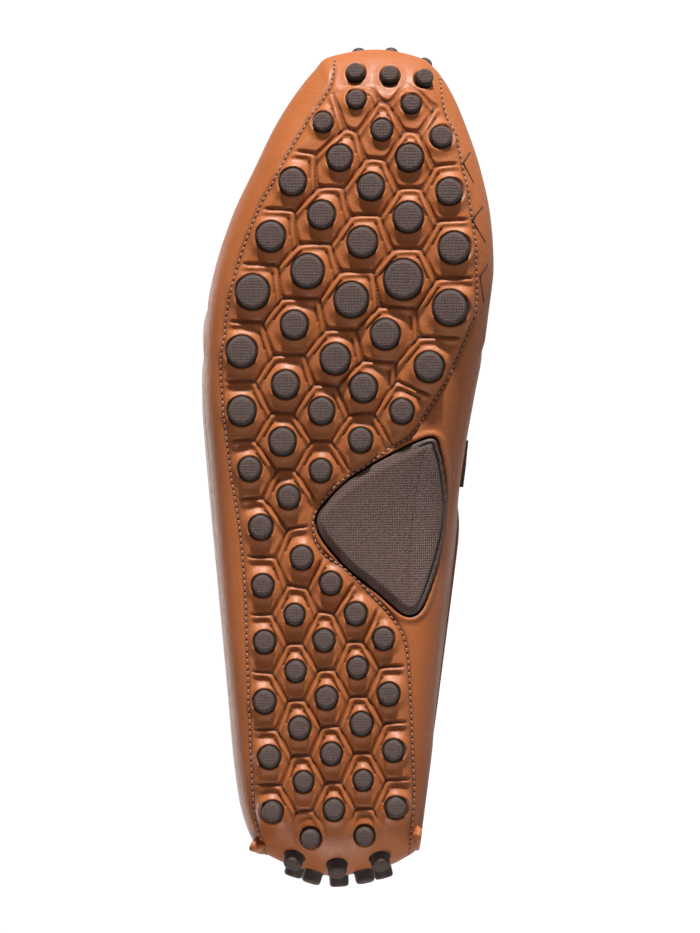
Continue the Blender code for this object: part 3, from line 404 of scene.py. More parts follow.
def relief(x, y):
    """How far the leather stands out from the last: a dome round every stud, a rib along
    the toe side of every honeycomb cell, a ledge that drops to the next cell on its heel
    side, slits inside the rib's slants, and a groove along the sewn lines. The cells are
    those of the nearest stud. Also returns a mask of painted shade for the colour: the
    slits, the cells' toe-side hollows and heel-side drops, the grooves, the moat round
    each stud and the pad's edge."""
    shape = x.shape
    x, y = x.ravel(), y.ravel()
    weight = np.exp(-((x[:, None] - column_spots[:, 0]) ** 2 + (y[:, None] - column_spots[:, 1]) ** 2)
                    / (2 * 0.009 ** 2)) + 1e-12
    shear = ((weight * column_leans).sum(1) / weight.sum(1))[:, None]
    stretch = (CELL_STRETCH + (BALL_STRETCH - CELL_STRETCH) * step(x / LENGTH, 0.34, 0.54)
               + (TOE_STRETCH - BALL_STRETCH) * step(x / LENGTH, 0.74, 0.90))[:, None]
    aside, along = x[:, None] - stud_feet[:, 0], y[:, None] - stud_feet[:, 1]
    gap = aside ** 2 + stretch * (along - shear * aside) ** 2
    order = np.argpartition(gap, 9, axis=1)[:, :9]
    near = np.take_along_axis(gap, order, 1)
    sort = np.argsort(near, 1)
    order, near = np.take_along_axis(order, sort, 1), np.take_along_axis(near, sort, 1)
    own = order[:, :1]
    own_gap = np.hypot(x - stud_feet[own[:, 0], 0], y - stud_feet[own[:, 0], 1])
    own_radius = stud_radii[own[:, 0]]
    other = order[:, 1:]
    away = stud_feet[other] - stud_feet[own]
    span = np.linalg.norm(away, axis=-1)
    across = stretch * (away[..., 1] - shear * away[..., 0])
    lean = np.stack([away[..., 0] - shear * across, across], -1)
    lean_length = np.linalg.norm(lean, axis=-1)
    border = (near[:, 1:] - near[:, :1]) / (2 * lean_length)
    tilt = away[..., 0] / np.hypot(away[..., 0], across)
    far = 0.02
    toe_side = np.where((tilt > 0.2) & (span < 0.026), border, far)
    heel_side = np.where((tilt < -0.2) & (span < 0.026), border, far)
    toe_gap, heel_gap = (-ROUND_CORNER * np.log(np.exp(-side_gap / ROUND_CORNER).sum(1))
                         for side_gap in (toe_side, heel_side))
    nearest = toe_side.argmin(1)
    pick = np.arange(len(x))
    way = lean[pick, nearest] / lean_length[pick, nearest][:, None]
    middle = (stud_feet[own[:, 0]] + stud_feet[other[pick, nearest]]) / 2
    toeward = np.sign(way[:, 1]) * (-(x - middle[:, 0]) * way[:, 1] + (y - middle[:, 1]) * way[:, 0])
    diagonal = np.abs(way[:, 1]) > 0.35
    size = own_radius / 0.0055

    lateral_gap = line_distance(x, y, lateral_line)
    medial_gap = line_distance(x, y, medial_line)
    pad_gap = line_distance(x, y, pad_line, closed=True)
    in_pad = inside(x, y, pad_line)
    within = inside(x, y, field_line) & ~in_pad
    field = step(np.minimum(lateral_gap, np.minimum(medial_gap, pad_gap)), 0.0008, 0.0036) * within
    ends = step(x, 0.055 * LENGTH, 0.085 * LENGTH) * (1 - step(x, 0.945 * LENGTH, 0.962 * LENGTH))
    pressed = field * ends

    reach = own_gap - own_radius
    rib = RIB_HEIGHT * np.exp(-((toe_gap - RIB_INSIDE) / (0.62 * RIB_HALF)) ** 2)
    rib = rib + 0.45 * RIB_HEIGHT * step(toe_gap, 0.0, 0.0009) * (1 - step(toe_gap, 0.0012, 0.0032))
    ledge = LEDGE_HEIGHT * step(heel_gap, 0.0002, 0.0010) * step(toe_gap, 0.0020, 0.0065)
    hollow = -0.0004 * np.exp(-(toe_gap / 0.0005) ** 2)
    slit_line = np.exp(-((toe_gap - SLIT_INSIDE) / SLIT_HALF) ** 2)
    slit_run = step(toeward, -0.0042 * size, -0.0032 * size)
    slit_run = slit_run * (1 - step(toeward, 0.0034 * size, 0.0044 * size))
    slit = slit_line * slit_run * diagonal * step(reach, 0.0004, 0.0012)
    dome_reach = DOME_REACH * size ** 0.5
    skirt = 1 - step(reach, -0.0002, dome_reach)
    dome = DOME_HEIGHT * skirt ** 1.3 * (0.75 + 0.25 * step(own_gap, 0, 0.01))
    height = pressed * (rib + ledge + hollow - SLIT_DEPTH * slit)
    height = height + dome * (0.35 + 0.65 * ends) * np.where(in_pad, 0, step(pad_gap, 0, 0.0012))
    moat = 1 - step(reach, 0.0003, 0.0009)
    height = height - 0.0010 * moat * np.where(in_pad, 0, 1)

    groove = np.exp(-(lateral_gap / GROOVE_HALF) ** 2) + np.exp(-(medial_gap / GROOVE_HALF) ** 2)
    height = height - GROOVE_DEPTH * groove
    pad_lip = 0.0007 * np.exp(-((pad_gap - 0.0016) / 0.0012) ** 2) * ~in_pad
    height = height + pad_lip - 0.0016 * np.where(in_pad, 1, 1 - step(pad_gap, 0.0004, 0.0010))
    # Painted shade: the slits, the hollow on each cell's toe side, the drop on its heel side, the sewn
    # grooves, the moat round each stud and the pad's edge are darkened in colour.
    painted_shade = np.clip(pressed * (slit * 0.75 + 0.7 * np.exp(-(toe_gap / 0.0005) ** 2)
                              + 0.35 * (1 - step(heel_gap, 0.0, 0.0010))) + 0.45 * groove, 0, 1)
    painted_shade = np.maximum(painted_shade, np.where(in_pad, 0, 0.8 * moat))
    painted_shade = np.maximum(painted_shade, np.where(in_pad, 1, 1 - step(pad_gap, 0.0004, 0.0012)))
    return height.reshape(shape), painted_shade.reshape(shape)


def node_of(tree, kind, **values):
    """A shader node with some of its properties set."""
    node = tree.nodes.new(kind)
    for name, value in values.items():
        setattr(node, name, value)
    return node


def math_node(tree, operation, a, b=None, clamp=False):
    """One arithmetic node; a and b are sockets or numbers."""
    node = node_of(tree, "ShaderNodeMath", operation=operation, use_clamp=clamp)
    for socket, value in zip(node.inputs, (a, b)):
        if isinstance(value, bpy.types.NodeSocket):
            tree.links.new(value, socket)
        elif value is not None:
            socket.default_value = value
    return node.outputs[0]


def mix_colours(tree, share, a, b, blend="MIX"):
    """A colour mix; share, a and b are sockets or values."""
    node = node_of(tree, "ShaderNodeMix", data_type="RGBA", blend_type=blend)
    for socket, value in ((node.inputs[0], share), (node.inputs[6], a), (node.inputs[7], b)):
        if isinstance(value, bpy.types.NodeSocket):
            tree.links.new(value, socket)
        else:
            socket.default_value = value if isinstance(value, float) else (*value, 1.0)
    return node.outputs[2]


def leather_group():
    """Calf grain: fine cells under soft wrinkles, in Object coordinates. Puts out the
    height for a Bump, a mask of light and dark patches, and the roughness."""
    group = bpy.data.node_groups.new("calf_grain", "ShaderNodeTree")
    interface = group.interface
    for name, value in (("Grain Size", 0.0007), ("Gloss Roughness", 0.4)):
        socket = interface.new_socket(name, in_out="INPUT", socket_type="NodeSocketFloat")
        socket.default_value = value
    for name in ("Height", "Patches", "Roughness"):
        interface.new_socket(name, in_out="OUTPUT", socket_type="NodeSocketFloat")
    inputs = group.nodes.new("NodeGroupInput")
    outputs = group.nodes.new("NodeGroupOutput")
    place = group.nodes.new("ShaderNodeTexCoord").outputs["Object"]
    fine = math_node(group, "DIVIDE", 1.0, inputs.outputs["Grain Size"])
    cells = node_of(group, "ShaderNodeTexVoronoi", feature="SMOOTH_F1")
    cells.inputs["Smoothness"].default_value = 0.6
    wrinkles = node_of(group, "ShaderNodeTexNoise")
    wrinkles.inputs["Scale"].default_value = 420
    wrinkles.inputs["Detail"].default_value = 4
    patches = node_of(group, "ShaderNodeTexNoise")
    patches.inputs["Scale"].default_value = 28
    patches.inputs["Detail"].default_value = 5
    for texture in (cells, wrinkles, patches):
        group.links.new(place, texture.inputs["Vector"])
    group.links.new(fine, cells.inputs["Scale"])
    grain = math_node(group, "MULTIPLY", cells.outputs["Distance"], 0.6)
    height = math_node(group, "ADD", grain, math_node(group, "MULTIPLY", wrinkles.outputs[0], 0.9))
    uneven = math_node(group, "SUBTRACT", wrinkles.outputs[0], 0.5)
    rough = math_node(group, "ADD", inputs.outputs["Gloss Roughness"],
                      math_node(group, "MULTIPLY", uneven, 0.25))
    group.links.new(height, outputs.inputs["Height"])
    group.links.new(patches.outputs[0], outputs.inputs["Patches"])
    group.links.new(rough, outputs.inputs["Roughness"])
    return group


CALF = leather_group()


def leather(name, mid, dark, light, roughness=0.52, bump=0.45, grain=0.0007, painted_shade_and_edge_paint=True):
    """Dyed calf: three tones by patches, grain bump, and mixed toward the dark colour where the
    painted-shade-and-edge-paint mask says: painted shade on the tan calf, the painted edges on the strap.
    """
    material = bpy.data.materials.new(name)
    material.use_nodes = True
    tree = material.node_tree
    shader = tree.nodes["Principled BSDF"]
    group = node_of(tree, "ShaderNodeGroup")
    group.node_tree = CALF
    group.inputs["Grain Size"].default_value = grain
    group.inputs["Gloss Roughness"].default_value = roughness
    patch = math_node(tree, "MULTIPLY_ADD", group.outputs["Patches"], 1.6)
    patch.node.inputs[2].default_value = -0.3
    patch.node.use_clamp = True
    colour = mix_colours(tree, patch, mid, light)
    if painted_shade_and_edge_paint:
        # The mask paints shade on the tan calf, darkening creases, slits, grooves and gaps toward the dark
        # colour; on the strap it marks its painted edges.
        mask = node_of(tree, "ShaderNodeAttribute", attribute_name="painted_shade_and_edge_paint")
        colour = mix_colours(tree, mask.outputs["Fac"], colour, dark)
    bumps = node_of(tree, "ShaderNodeBump")
    bumps.inputs["Strength"].default_value = bump
    bumps.inputs["Distance"].default_value = 0.00025
    tree.links.new(group.outputs["Height"], bumps.inputs["Height"])
    tree.links.new(bumps.outputs[0], shader.inputs["Normal"])
    tree.links.new(colour, shader.inputs["Base Color"])
    tree.links.new(group.outputs["Roughness"], shader.inputs["Roughness"])
    shader.inputs["Coat Weight"].default_value = 0.05
    shader.inputs["Coat Roughness"].default_value = 0.32
    shader.inputs["IOR"].default_value = 1.42
    return material


TAN = (0.325, 0.085, 0.018)
TAN_LIGHT = (0.41, 0.125, 0.034)
# Painted shade: the near black that the tan calf is darkened to in creases, slits, grooves and gaps.
TAN_PAINTED_SHADE = (0.045, 0.011, 0.004)
tan_leather = leather("tan_calf", TAN, TAN_PAINTED_SHADE, TAN_LIGHT)

# The bottom: rows across at x, columns from the lateral split line to the medial one.
split_turns = np.linspace(0, 4, 1601)[:-1]
split_line = skin(split_turns, np.array([SPLIT_CLIMB]))[:, 0, :2]
split_line = np.roll(split_line, -split_line[:, 0].argmin(), axis=0)
tip = split_line[:, 0].argmax()
x_low, x_high = split_line[:, 0].min() + 0.0012, split_line[:, 0].max() - 0.0012
medial_split, lateral_split = split_line[:tip + 1], split_line[tip:][::-1]
rows_x = np.linspace(x_low, x_high, int((x_high - x_low) / CELL))
high = np.interp(rows_x, medial_split[:, 0], medial_split[:, 1])
low = np.interp(rows_x, lateral_split[:, 0], lateral_split[:, 1])
columns = int(BALL_WIDTH / CELL)
shares = np.linspace(0, 1, columns)
plan_x = np.repeat(rows_x[:, None], columns, 1)
plan_y = low[:, None] + (high - low)[:, None] * shares


def bottom_point(x, y):
    """A point of the finished bottom: the last's bottom moved along its normal by the
    relief. The normal is minus the slope's own, so that it points out of the shoe."""
    height, climb = under(x, y)
    nudge = 0.0004
    slope_x = (under(x + nudge, y)[0] - under(x - nudge, y)[0]) / (2 * nudge)
    slope_y = (under(x, y + nudge)[0] - under(x, y - nudge)[0]) / (2 * nudge)
    normal = np.stack([slope_x, slope_y, -np.ones_like(height)], -1)
    normal /= np.linalg.norm(normal, axis=-1, keepdims=True)
    raised, painted_shade = relief(x, y)
    fade = 1 - step(climb, 1.45, 1.65)
    offset = raised * fade
    return np.stack([x, y, height], -1) + normal * offset[..., None], normal, painted_shade * fade


bottom, _, bottom_painted_shade = bottom_point(plan_x, plan_y)
cuts = [0, len(rows_x) // 3, len(rows_x) * 2 // 3, len(rows_x) - 1]
for name, first, last in zip(("heel", "waist", "toe"), cuts, cuts[1:]):
    part = slice(first, last + 1)
    points = bottom[part]
    piece = make_piece("upper_bottom_" + name, points, grid_faces(*points.shape[:2]), tan_leather,
                       masks={"painted_shade_and_edge_paint": bottom_painted_shade[part]})
    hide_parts("upper")

# The walls: ribs from just inside the split line up to the rim.
THROAT_LOW, THROAT_HIGH = 0.44, 0.50
wall_turns = np.linspace(0, 4, 961)[:-1]
start, angle, edge = ribs(wall_turns)
wall_along = (start[:, 0] + edge * np.cos(angle)) / LENGTH
fan_end = np.where(np.cos(angle) > 0, x_high - 0.0006, x_low + 0.0006)
FAR_OUT = 9.0
endways = np.abs(np.cos(angle)) > 0.2
out_end = (fan_end - start[:, 0]) / np.where(endways, np.cos(angle), 1)
out_end = np.where(endways, out_end, FAR_OUT)
reach = TURN_REACH * both_sides(BOTTOM, wall_along, 3, np.sin(angle))
sine_end = np.clip((out_end - edge + reach) / reach, -1, 1)
first_climb = np.minimum(SPLIT_CLIMB, 1 + np.arcsin(np.maximum(sine_end, 0)) / (np.pi / 2)) - 0.02
levels = np.linspace(0, 1, 44)
wall_climbs = first_climb[:, None] + (3 - first_climb[:, None]) * levels
wall = skin(wall_turns, wall_climbs)
wall_normal = grid_normals(wall, closed=True)
outward = np.stack([np.cos(angle), np.sin(angle), 0 * angle], -1)
if (wall_normal[:, 20] * outward).sum() < 0:
    wall_normal = -wall_normal
start_along = start[:, 0] / LENGTH
apron_share = np.where((wall_turns > 1) & (wall_turns < 2), 1.0, step(start_along, THROAT_LOW, THROAT_HIGH))
rim_run = np.concatenate([[0], np.cumsum(np.linalg.norm(np.diff(wall[:, -1], axis=0), axis=1))])

# Soft creases that wear leaves: turn, climb, half lengths along each, depth, slant.
WALL_CREASES = [
    (0.72, 2.35, 0.020, 0.50, -0.0009, 0.10), (0.80, 2.30, 0.016, 0.45, -0.0007, 0.14),
    (2.28, 2.35, 0.020, 0.50, -0.0009, -0.10), (2.20, 2.30, 0.016, 0.45, -0.0007, -0.14),
    (0.28, 2.45, 0.060, 0.30, -0.0010, 0.05), (2.74, 2.45, 0.060, 0.30, -0.0010, -0.05),
    (3.50, 2.55, 0.300, 0.22, -0.0008, 0.00), (0.76, 2.30, 0.020, 0.45, 0.0007, 0.12),
    (2.24, 2.30, 0.020, 0.45, 0.0007, -0.12), (2.50, 2.20, 0.150, 0.35, 0.0006, 0.0),
]
turn_grid = wall_turns[:, None] + 0 * wall_climbs
wall_out = 0 * wall_climbs
for turn, climb, half_turn, half_climb, depth, slant in WALL_CREASES:
    across = (turn_grid - turn - slant * (wall_climbs - climb)) / half_turn
    wall_out += depth * np.exp(-across ** 2 - ((wall_climbs - climb) / half_climb) ** 2)
PUCKER_PITCH = 0.0056
pucker = np.cos(2 * np.pi * rim_run / PUCKER_PITCH)[:, None] * step(wall_climbs, 2.55, 2.98)
wall_out += 0.00035 * pucker * apron_share[:, None]
wall_out -= 0.0003 * (1 - step(wall_climbs - first_climb[:, None], 0.0, 0.03))
behind = step(start_along, 0.14, 0.24) * (1 - step(start_along, 0.42, 0.50)) * (wall_turns < 1)
wall_out += 0.0016 * behind[:, None] * step(wall_climbs, 2.0, 2.9)
wall_skin = wall + wall_normal * wall_out[..., None]

COLLAR_EDGE = np.array([
    # out, up
    (0.0002, 0.0000), (0.0008, 0.0002), (0.0010, 0.0010), (0.0010, 0.0046), (0.0006, 0.0058),
    (-0.0004, 0.0063), (-0.0014, 0.0060), (-0.0020, 0.0050), (-0.0020, 0.0000),
])
SEAM_EDGE = np.array([
    # out, up
    (0.0001, 0.0004), (0.0001, 0.0009), (0.0001, 0.0016), (0.0000, 0.0024), (-0.0003, 0.0029),
    (-0.0009, 0.0031), (-0.0015, 0.0029), (-0.0019, 0.0022), (-0.0020, 0.0000),
])
edge_path = COLLAR_EDGE[None] + (SEAM_EDGE - COLLAR_EDGE)[None] * apron_share[:, None, None]
rise = np.array([0.0, 0.0, 1.0])
rim = wall_skin[:, -1:] + outward[:, None] * edge_path[..., :1] + rise * edge_path[..., 1:]
walls = np.concatenate([wall_skin, rim], axis=1)
wall_mask = np.zeros(walls.shape[:2])
# A darker line along the wall's top row, where it turns over into the collar's edge; none along the apron.
wall_mask[:, len(levels)] = 0.5 * (1 - apron_share)
piece = make_piece("upper_walls", walls, grid_faces(*walls.shape[:2], closed=True), tan_leather,
                   masks={"painted_shade_and_edge_paint": wall_mask})
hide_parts("upper")

# The lining: thin pigskin glued inside the walls, from the binding down under the sock.
lining_leather = leather("lining_pigskin", (0.50, 0.27, 0.13), (0.2, 0.1, 0.05), (0.58, 0.34, 0.18),
                         roughness=0.6, bump=0.3, grain=0.0011, painted_shade_and_edge_paint=False)
lining_turns = np.linspace(0, 4, 241)[:-1]
lining_skin = skin(lining_turns, np.linspace(0.9, 3, 30))
lining_normal = grid_normals(lining_skin, closed=True)
_, lining_angle, _ = ribs(lining_turns)
lining_out = np.stack([np.cos(lining_angle), np.sin(lining_angle), 0 * lining_angle], -1)
if (lining_normal[:, 20] * lining_out).sum() < 0:
    lining_normal = -lining_normal
lining = lining_skin - lining_normal * (WALL * 0.98)
lining[:, -1] = lining_skin[:, -1] - lining_out * WALL * 1.02 + rise * 0.0004
make_piece("lining", lining, grid_faces(*lining.shape[:2], closed=True)[:, ::-1], lining_leather)


# The studs: solid rubber pegs moulded on a plate inside the shoe and pushed out through
# punched holes. Their ends have rounded rims and a fine net. The floor of the hole's gap is painted near
# black as shade, and the sides take a darker copy of the rubber as painted shade.
def rubber_group():
    """Moulded rubber: a fine net of crossed waves on the surface's own UV map, with a
    speckle. Puts out the height for a Bump, and the net with the speckle for colour: painted light on the
    net's crests and painted shade in its hollows."""
    group = bpy.data.node_groups.new("moulded_net", "ShaderNodeTree")
    socket = group.interface.new_socket("Net Pitch", in_out="INPUT", socket_type="NodeSocketFloat")
    socket.default_value = 0.0006
    for name in ("Height", "Painted Net And Speckle"):
        group.interface.new_socket(name, in_out="OUTPUT", socket_type="NodeSocketFloat")
    inputs = group.nodes.new("NodeGroupInput")
    outputs = group.nodes.new("NodeGroupOutput")
    place = group.nodes.new("ShaderNodeUVMap")
    place.uv_map = "surface"
    split = group.nodes.new("ShaderNodeSeparateXYZ")
    group.links.new(place.outputs[0], split.inputs[0])
    turn_rate = math_node(group, "DIVIDE", 2 * np.pi, inputs.outputs["Net Pitch"])
    plus = math_node(group, "ADD", split.outputs[0], split.outputs[1])
    minus = math_node(group, "SUBTRACT", split.outputs[0], split.outputs[1])
    wave_a = math_node(group, "SINE", math_node(group, "MULTIPLY", plus, turn_rate))
    wave_b = math_node(group, "SINE", math_node(group, "MULTIPLY", minus, turn_rate))
    net = math_node(group, "MULTIPLY", wave_a, wave_b)
    speckle = node_of(group, "ShaderNodeTexNoise")
    speckle.inputs["Scale"].default_value = 1500
    object_place = group.nodes.new("ShaderNodeTexCoord").outputs["Object"]
    group.links.new(object_place, speckle.inputs["Vector"])
    group.links.new(net, outputs.inputs["Height"])
    total = math_node(group, "MULTIPLY_ADD", net, 0.75)
    group.links.new(speckle.outputs[0], total.node.inputs[2])
    group.links.new(total, outputs.inputs["Painted Net And Speckle"])
    return group


NET = rubber_group()


def rubber(name, face, side, pitch=0.00105, roughness=0.62):
    """Taupe rubber: netted where the face mask is 1; where it is 0, smooth and in the side colour, a darker
    copy that paints shade on the sides. Where the gap mask says, painted near black as shade.
    """
    material = bpy.data.materials.new(name)
    material.use_nodes = True
    tree = material.node_tree
    shader = tree.nodes["Principled BSDF"]
    group = node_of(tree, "ShaderNodeGroup")
    group.node_tree = NET
    group.inputs["Net Pitch"].default_value = pitch
    mask = node_of(tree, "ShaderNodeAttribute", attribute_name="face").outputs["Fac"]
    gap = node_of(tree, "ShaderNodeAttribute", attribute_name="gap").outputs["Fac"]
    light = tuple(min(1.0, c * 1.35) for c in face)
    dark = tuple(c * 0.62 for c in face)
    # Painted light and shade: the net's crests are coloured lighter and its hollows darker, mixed with a
    # random speckle.
    netted = mix_colours(tree, math_node(tree, "ADD", group.outputs["Painted Net And Speckle"], 0.0, clamp=True), dark, light)
    colour = mix_colours(tree, mask, side, netted)
    # Painted shade: where the gap mask says, the colour goes near black, for the gap round a stud and the
    # pad's groove.
    colour = mix_colours(tree, gap, colour, (0.006, 0.004, 0.003))
    tree.links.new(colour, shader.inputs["Base Color"])
    bumps = node_of(tree, "ShaderNodeBump")
    bumps.inputs["Distance"].default_value = 0.0002
    tree.links.new(math_node(tree, "MULTIPLY", mask, 0.8), bumps.inputs["Strength"])
    tree.links.new(group.outputs["Height"], bumps.inputs["Height"])
    tree.links.new(bumps.outputs[0], shader.inputs["Normal"])
    shader.inputs["Roughness"].default_value = roughness
    shader.inputs["Specular IOR Level"].default_value = 0.36
    return material


TAUPE = (0.094, 0.057, 0.048)
# Painted shade: the same rubber darkened for the studs' sides.
TAUPE_SHADED_SIDE = (0.050, 0.033, 0.026)
stud_rubber = rubber("taupe_rubber", TAUPE, TAUPE_SHADED_SIDE)

_, foot_normals, _ = bottom_point(stud_feet[:, 0], stud_feet[:, 1])
feet = np.stack([stud_feet[:, 0], stud_feet[:, 1], under(stud_feet[:, 0], stud_feet[:, 1])[0]], -1)
end_feet, end_normals, end_radii = [], [], []
for end, height, lateral, medial, count, size in END_STUD_ROWS:
    turns = np.linspace(1, 2, 500) if end > 0 else np.linspace(3, 3.999, 500)
    patch = skin(turns, np.linspace(0.9, 2.6, 340))
    patch_normal = grid_normals(patch)
    if (patch_normal[..., 0] * end).sum() < 0:
        patch_normal = -patch_normal
    for y in np.linspace(lateral, medial, int(count)) * BALL_WIDTH:
        miss = (patch[..., 1] - y) ** 2 + (patch[..., 2] - height * HEEL_HEIGHT) ** 2
        i, j = np.unravel_index(miss.argmin(), miss.shape)
        end_feet.append(patch[i, j])
        end_normals.append(patch_normal[i, j])
        end_radii.append(size * STUD_WIDTH / 2)
all_feet = np.vstack([feet, end_feet])
UPRIGHT_SHARE = 0.6
foot_axes = foot_normals * (1 - UPRIGHT_SHARE) + np.array([0.0, 0.0, -1.0]) * UPRIGHT_SHARE
foot_axes /= np.linalg.norm(foot_axes, axis=1, keepdims=True)
all_normals = np.vstack([foot_axes, end_normals])
all_radii = np.concatenate([stud_radii, end_radii])
STUD_ROUND = 36
around = np.linspace(0, 2 * np.pi, STUD_ROUND + 1)[:-1]
first_axis = np.cross(all_normals, [0.0, 1.0, 0.0])
first_axis /= np.linalg.norm(first_axis, axis=1, keepdims=True)
second_axis = np.cross(all_normals, first_axis)
ring_way = (first_axis[:, None] * np.cos(around)[:, None] + second_axis[:, None] * np.sin(around)[:, None])
ring_spot = feet[:, None] + ring_way[:len(feet)] * (stud_radii[:, None, None] + 0.0008)
ring_height = np.full((len(all_feet), STUD_ROUND), 0.0001)
drop = ring_spot[..., 2] - under(ring_spot[..., 0], ring_spot[..., 1])[0]
ring_height[:len(feet)] = (relief(ring_spot[..., 0], ring_spot[..., 1])[0] + drop) / -foot_axes[:, None, 2]
STUD_PROFILE = np.array([
    # radius past the stud's, share of the ring's height, height, share of the stud's height, face, gap shade
    (0.00040, 1, -0.0011, 0, 0, 1), (0.00040, 1, -0.00012, 0, 0, 1), (0.00006, 1, -0.00010, 0, 0, 1),
    (0.0, 1, 0.0002, 0, 0, 0), (-0.00005, 0, -0.0012, 1, 0, 0), (-0.00018, 0, -0.00065, 1, 0.2, 0),
    (-0.00045, 0, -0.00025, 1, 0.7, 0), (-0.0009, 0, -0.00004, 1, 1, 0), (-0.0014, 0, 0.0, 1, 1, 0),
])
radii = all_radii[:, None, None] + STUD_PROFILE[:, 0][None, None]
heights = (STUD_PROFILE[:, 1] * ring_height[..., None] + STUD_PROFILE[:, 2]
           + STUD_PROFILE[:, 3] * STUD_HEIGHT)
pegs = (all_feet[:, None, None] + ring_way[:, :, None] * radii[..., None]
        + all_normals[:, None, None] * heights[..., None])
tips = (all_feet + all_normals * STUD_HEIGHT)[:, None, None]
tips = np.broadcast_to(tips, (len(all_feet), STUD_ROUND, 1, 3))
pegs = np.concatenate([pegs, tips], axis=2)
rows = pegs.shape[2]
one = grid_faces(STUD_ROUND, rows, closed=True)
faces = (one[None] + (np.arange(len(all_feet)) * STUD_ROUND * rows)[:, None, None]).reshape(-1, 4)
radius_all = np.concatenate([np.broadcast_to(radii, (len(all_feet), STUD_ROUND, rows - 1)),
                             np.zeros((len(all_feet), STUD_ROUND, 1))], 2)
peg_uv = np.stack([radius_all * np.cos(around)[:, None], radius_all * np.sin(around)[:, None]], -1)
face_mask = np.broadcast_to(np.append(STUD_PROFILE[:, 4], 1), pegs.shape[:3])
gap_shade_mask = np.broadcast_to(np.append(STUD_PROFILE[:, 5], 0), pegs.shape[:3])
piece = make_piece("studs", pegs, faces, stud_rubber,
                   masks={"face": face_mask, "gap": gap_shade_mask}, uv=peg_uv)
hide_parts("outsole")

# The arch pad: one moulding of the same rubber, glued in its own cut-out, with a wide
# bevel, a groove and a knurled rim along the outer edge. Its face is left bare.
PAD_ROUND, BEVEL, PAD_SEEN_PROUD = 220, 0.0030, 0.0024
# The side colour is a darker copy of the face colour, painted shade for the pad's edge.
pad_rubber = rubber("pad_rubber", (0.106, 0.058, 0.047), (0.072, 0.046, 0.038),
                    pitch=0.00115, roughness=0.58)
pad_sides = np.diff(np.vstack([pad_line, pad_line[:1]]), axis=0)
length = np.concatenate([[0], np.cumsum(np.linalg.norm(pad_sides, axis=1))])
spots = np.linspace(0, length[-1], PAD_ROUND + 1)[:-1]
ring = np.stack([np.interp(spots, length, np.append(pad_line[:, k], pad_line[0, k])) for k in (0, 1)], -1)
middle = ring.mean(0)
ring_shares = np.concatenate([[1.0, 1.0, 1.0], 1 - np.linspace(0.004, 0.22, 34), np.linspace(0.74, 0.0, 12)])
plan = middle + (ring[:, None] - middle) * ring_shares[None, :, None]
pad_base = np.stack([plan[..., 0], plan[..., 1], under(plan[..., 0], plan[..., 1])[0]], -1)
_, pad_normal, _ = bottom_point(plan[..., 0], plan[..., 1])
inset = line_distance(plan[..., 0], plan[..., 1], pad_line, closed=True, limit=0.03)
medial_side = step((ring[:, 1] / BALL_WIDTH)[:, None] + 0 * inset, 0.26, 0.33)
pad_up = PAD_SEEN_PROUD - 0.0014 * (1 - step(inset, 0.0003, BEVEL)) - 0.0005 * (1 - step(inset, 0, 0.0005))
groove_line = np.exp(-((inset - 0.0015) / 0.00042) ** 2) * medial_side
pad_up = pad_up + 0.0005 * medial_side * (1 - step(inset, 0.0006, BEVEL)) - 0.0008 * groove_line
knurl = np.sin(2 * np.pi * spots / 0.00095)[:, None] * medial_side * (1 - step(inset, 0.0006, 0.0011))
pad_up = pad_up + 0.00010 * knurl
pad_up[:, 0], pad_up[:, 1] = -0.0015, -0.0002
pad_points = pad_base + pad_normal * pad_up[..., None]
# Painted shade: the groove takes less face colour and, through the gap mask, goes toward near black; the
# outer rim and the two hidden rows take the darker side colour.
pad_face = step(inset, 0.0004, 0.0012) * (1 - 0.8 * groove_line)
pad_face[:, :2] = 0
pad_gap = 0.75 * groove_line
piece = make_piece("arch_pad_moulding", pad_points, grid_faces(*pad_points.shape[:2], closed=True),
                   pad_rubber, masks={"face": pad_face, "gap": pad_gap}, uv=plan)
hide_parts("arch_pad")

# The sock: soft leather glued over the plate, seen only through the collar.
sock_leather = leather("sock_calf", (0.46, 0.24, 0.11), (0.2, 0.1, 0.05), (0.55, 0.31, 0.16),
                       roughness=0.55, bump=0.3, grain=0.0010, painted_shade_and_edge_paint=False)
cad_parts["insole"].material_slots[0].material = sock_leather


# The sewn lines: waxed thread in small lock stitches, sunk in a groove, each end going
# down a needle hole. The collar has a finer row, and the apron's seam is sewn by hand.
def thread_material(name, colour):
    """Twisted waxed thread: a fine slanting wave for the twist."""
    material = bpy.data.materials.new(name)
    material.use_nodes = True
    tree = material.node_tree
    shader = tree.nodes["Principled BSDF"]
    twist = node_of(tree, "ShaderNodeTexWave", bands_direction="DIAGONAL")
    twist.inputs["Scale"].default_value = 900
    tree.links.new(node_of(tree, "ShaderNodeTexCoord").outputs["Object"], twist.inputs["Vector"])
    dark = tuple(c * 0.65 for c in colour)
    tree.links.new(mix_colours(tree, twist.outputs["Fac"], dark, colour), shader.inputs["Base Color"])
    shader.inputs["Roughness"].default_value = 0.5
    return material


def resample(line, pitch):
    """Points every pitch along a line, and the way it runs there."""
    length = np.concatenate([[0], np.cumsum(np.linalg.norm(np.diff(line, axis=0), axis=1))])
    marks = np.arange(pitch / 2, length[-1], pitch)
    spots = [np.stack([np.interp(marks + pitch * shift, length, line[:, k])
                       for k in range(line.shape[1])], -1) for shift in (-0.2, 0.0, 0.2)]
    way = spots[2] - spots[0]
    return spots[1], way / np.linalg.norm(way, axis=1, keepdims=True)


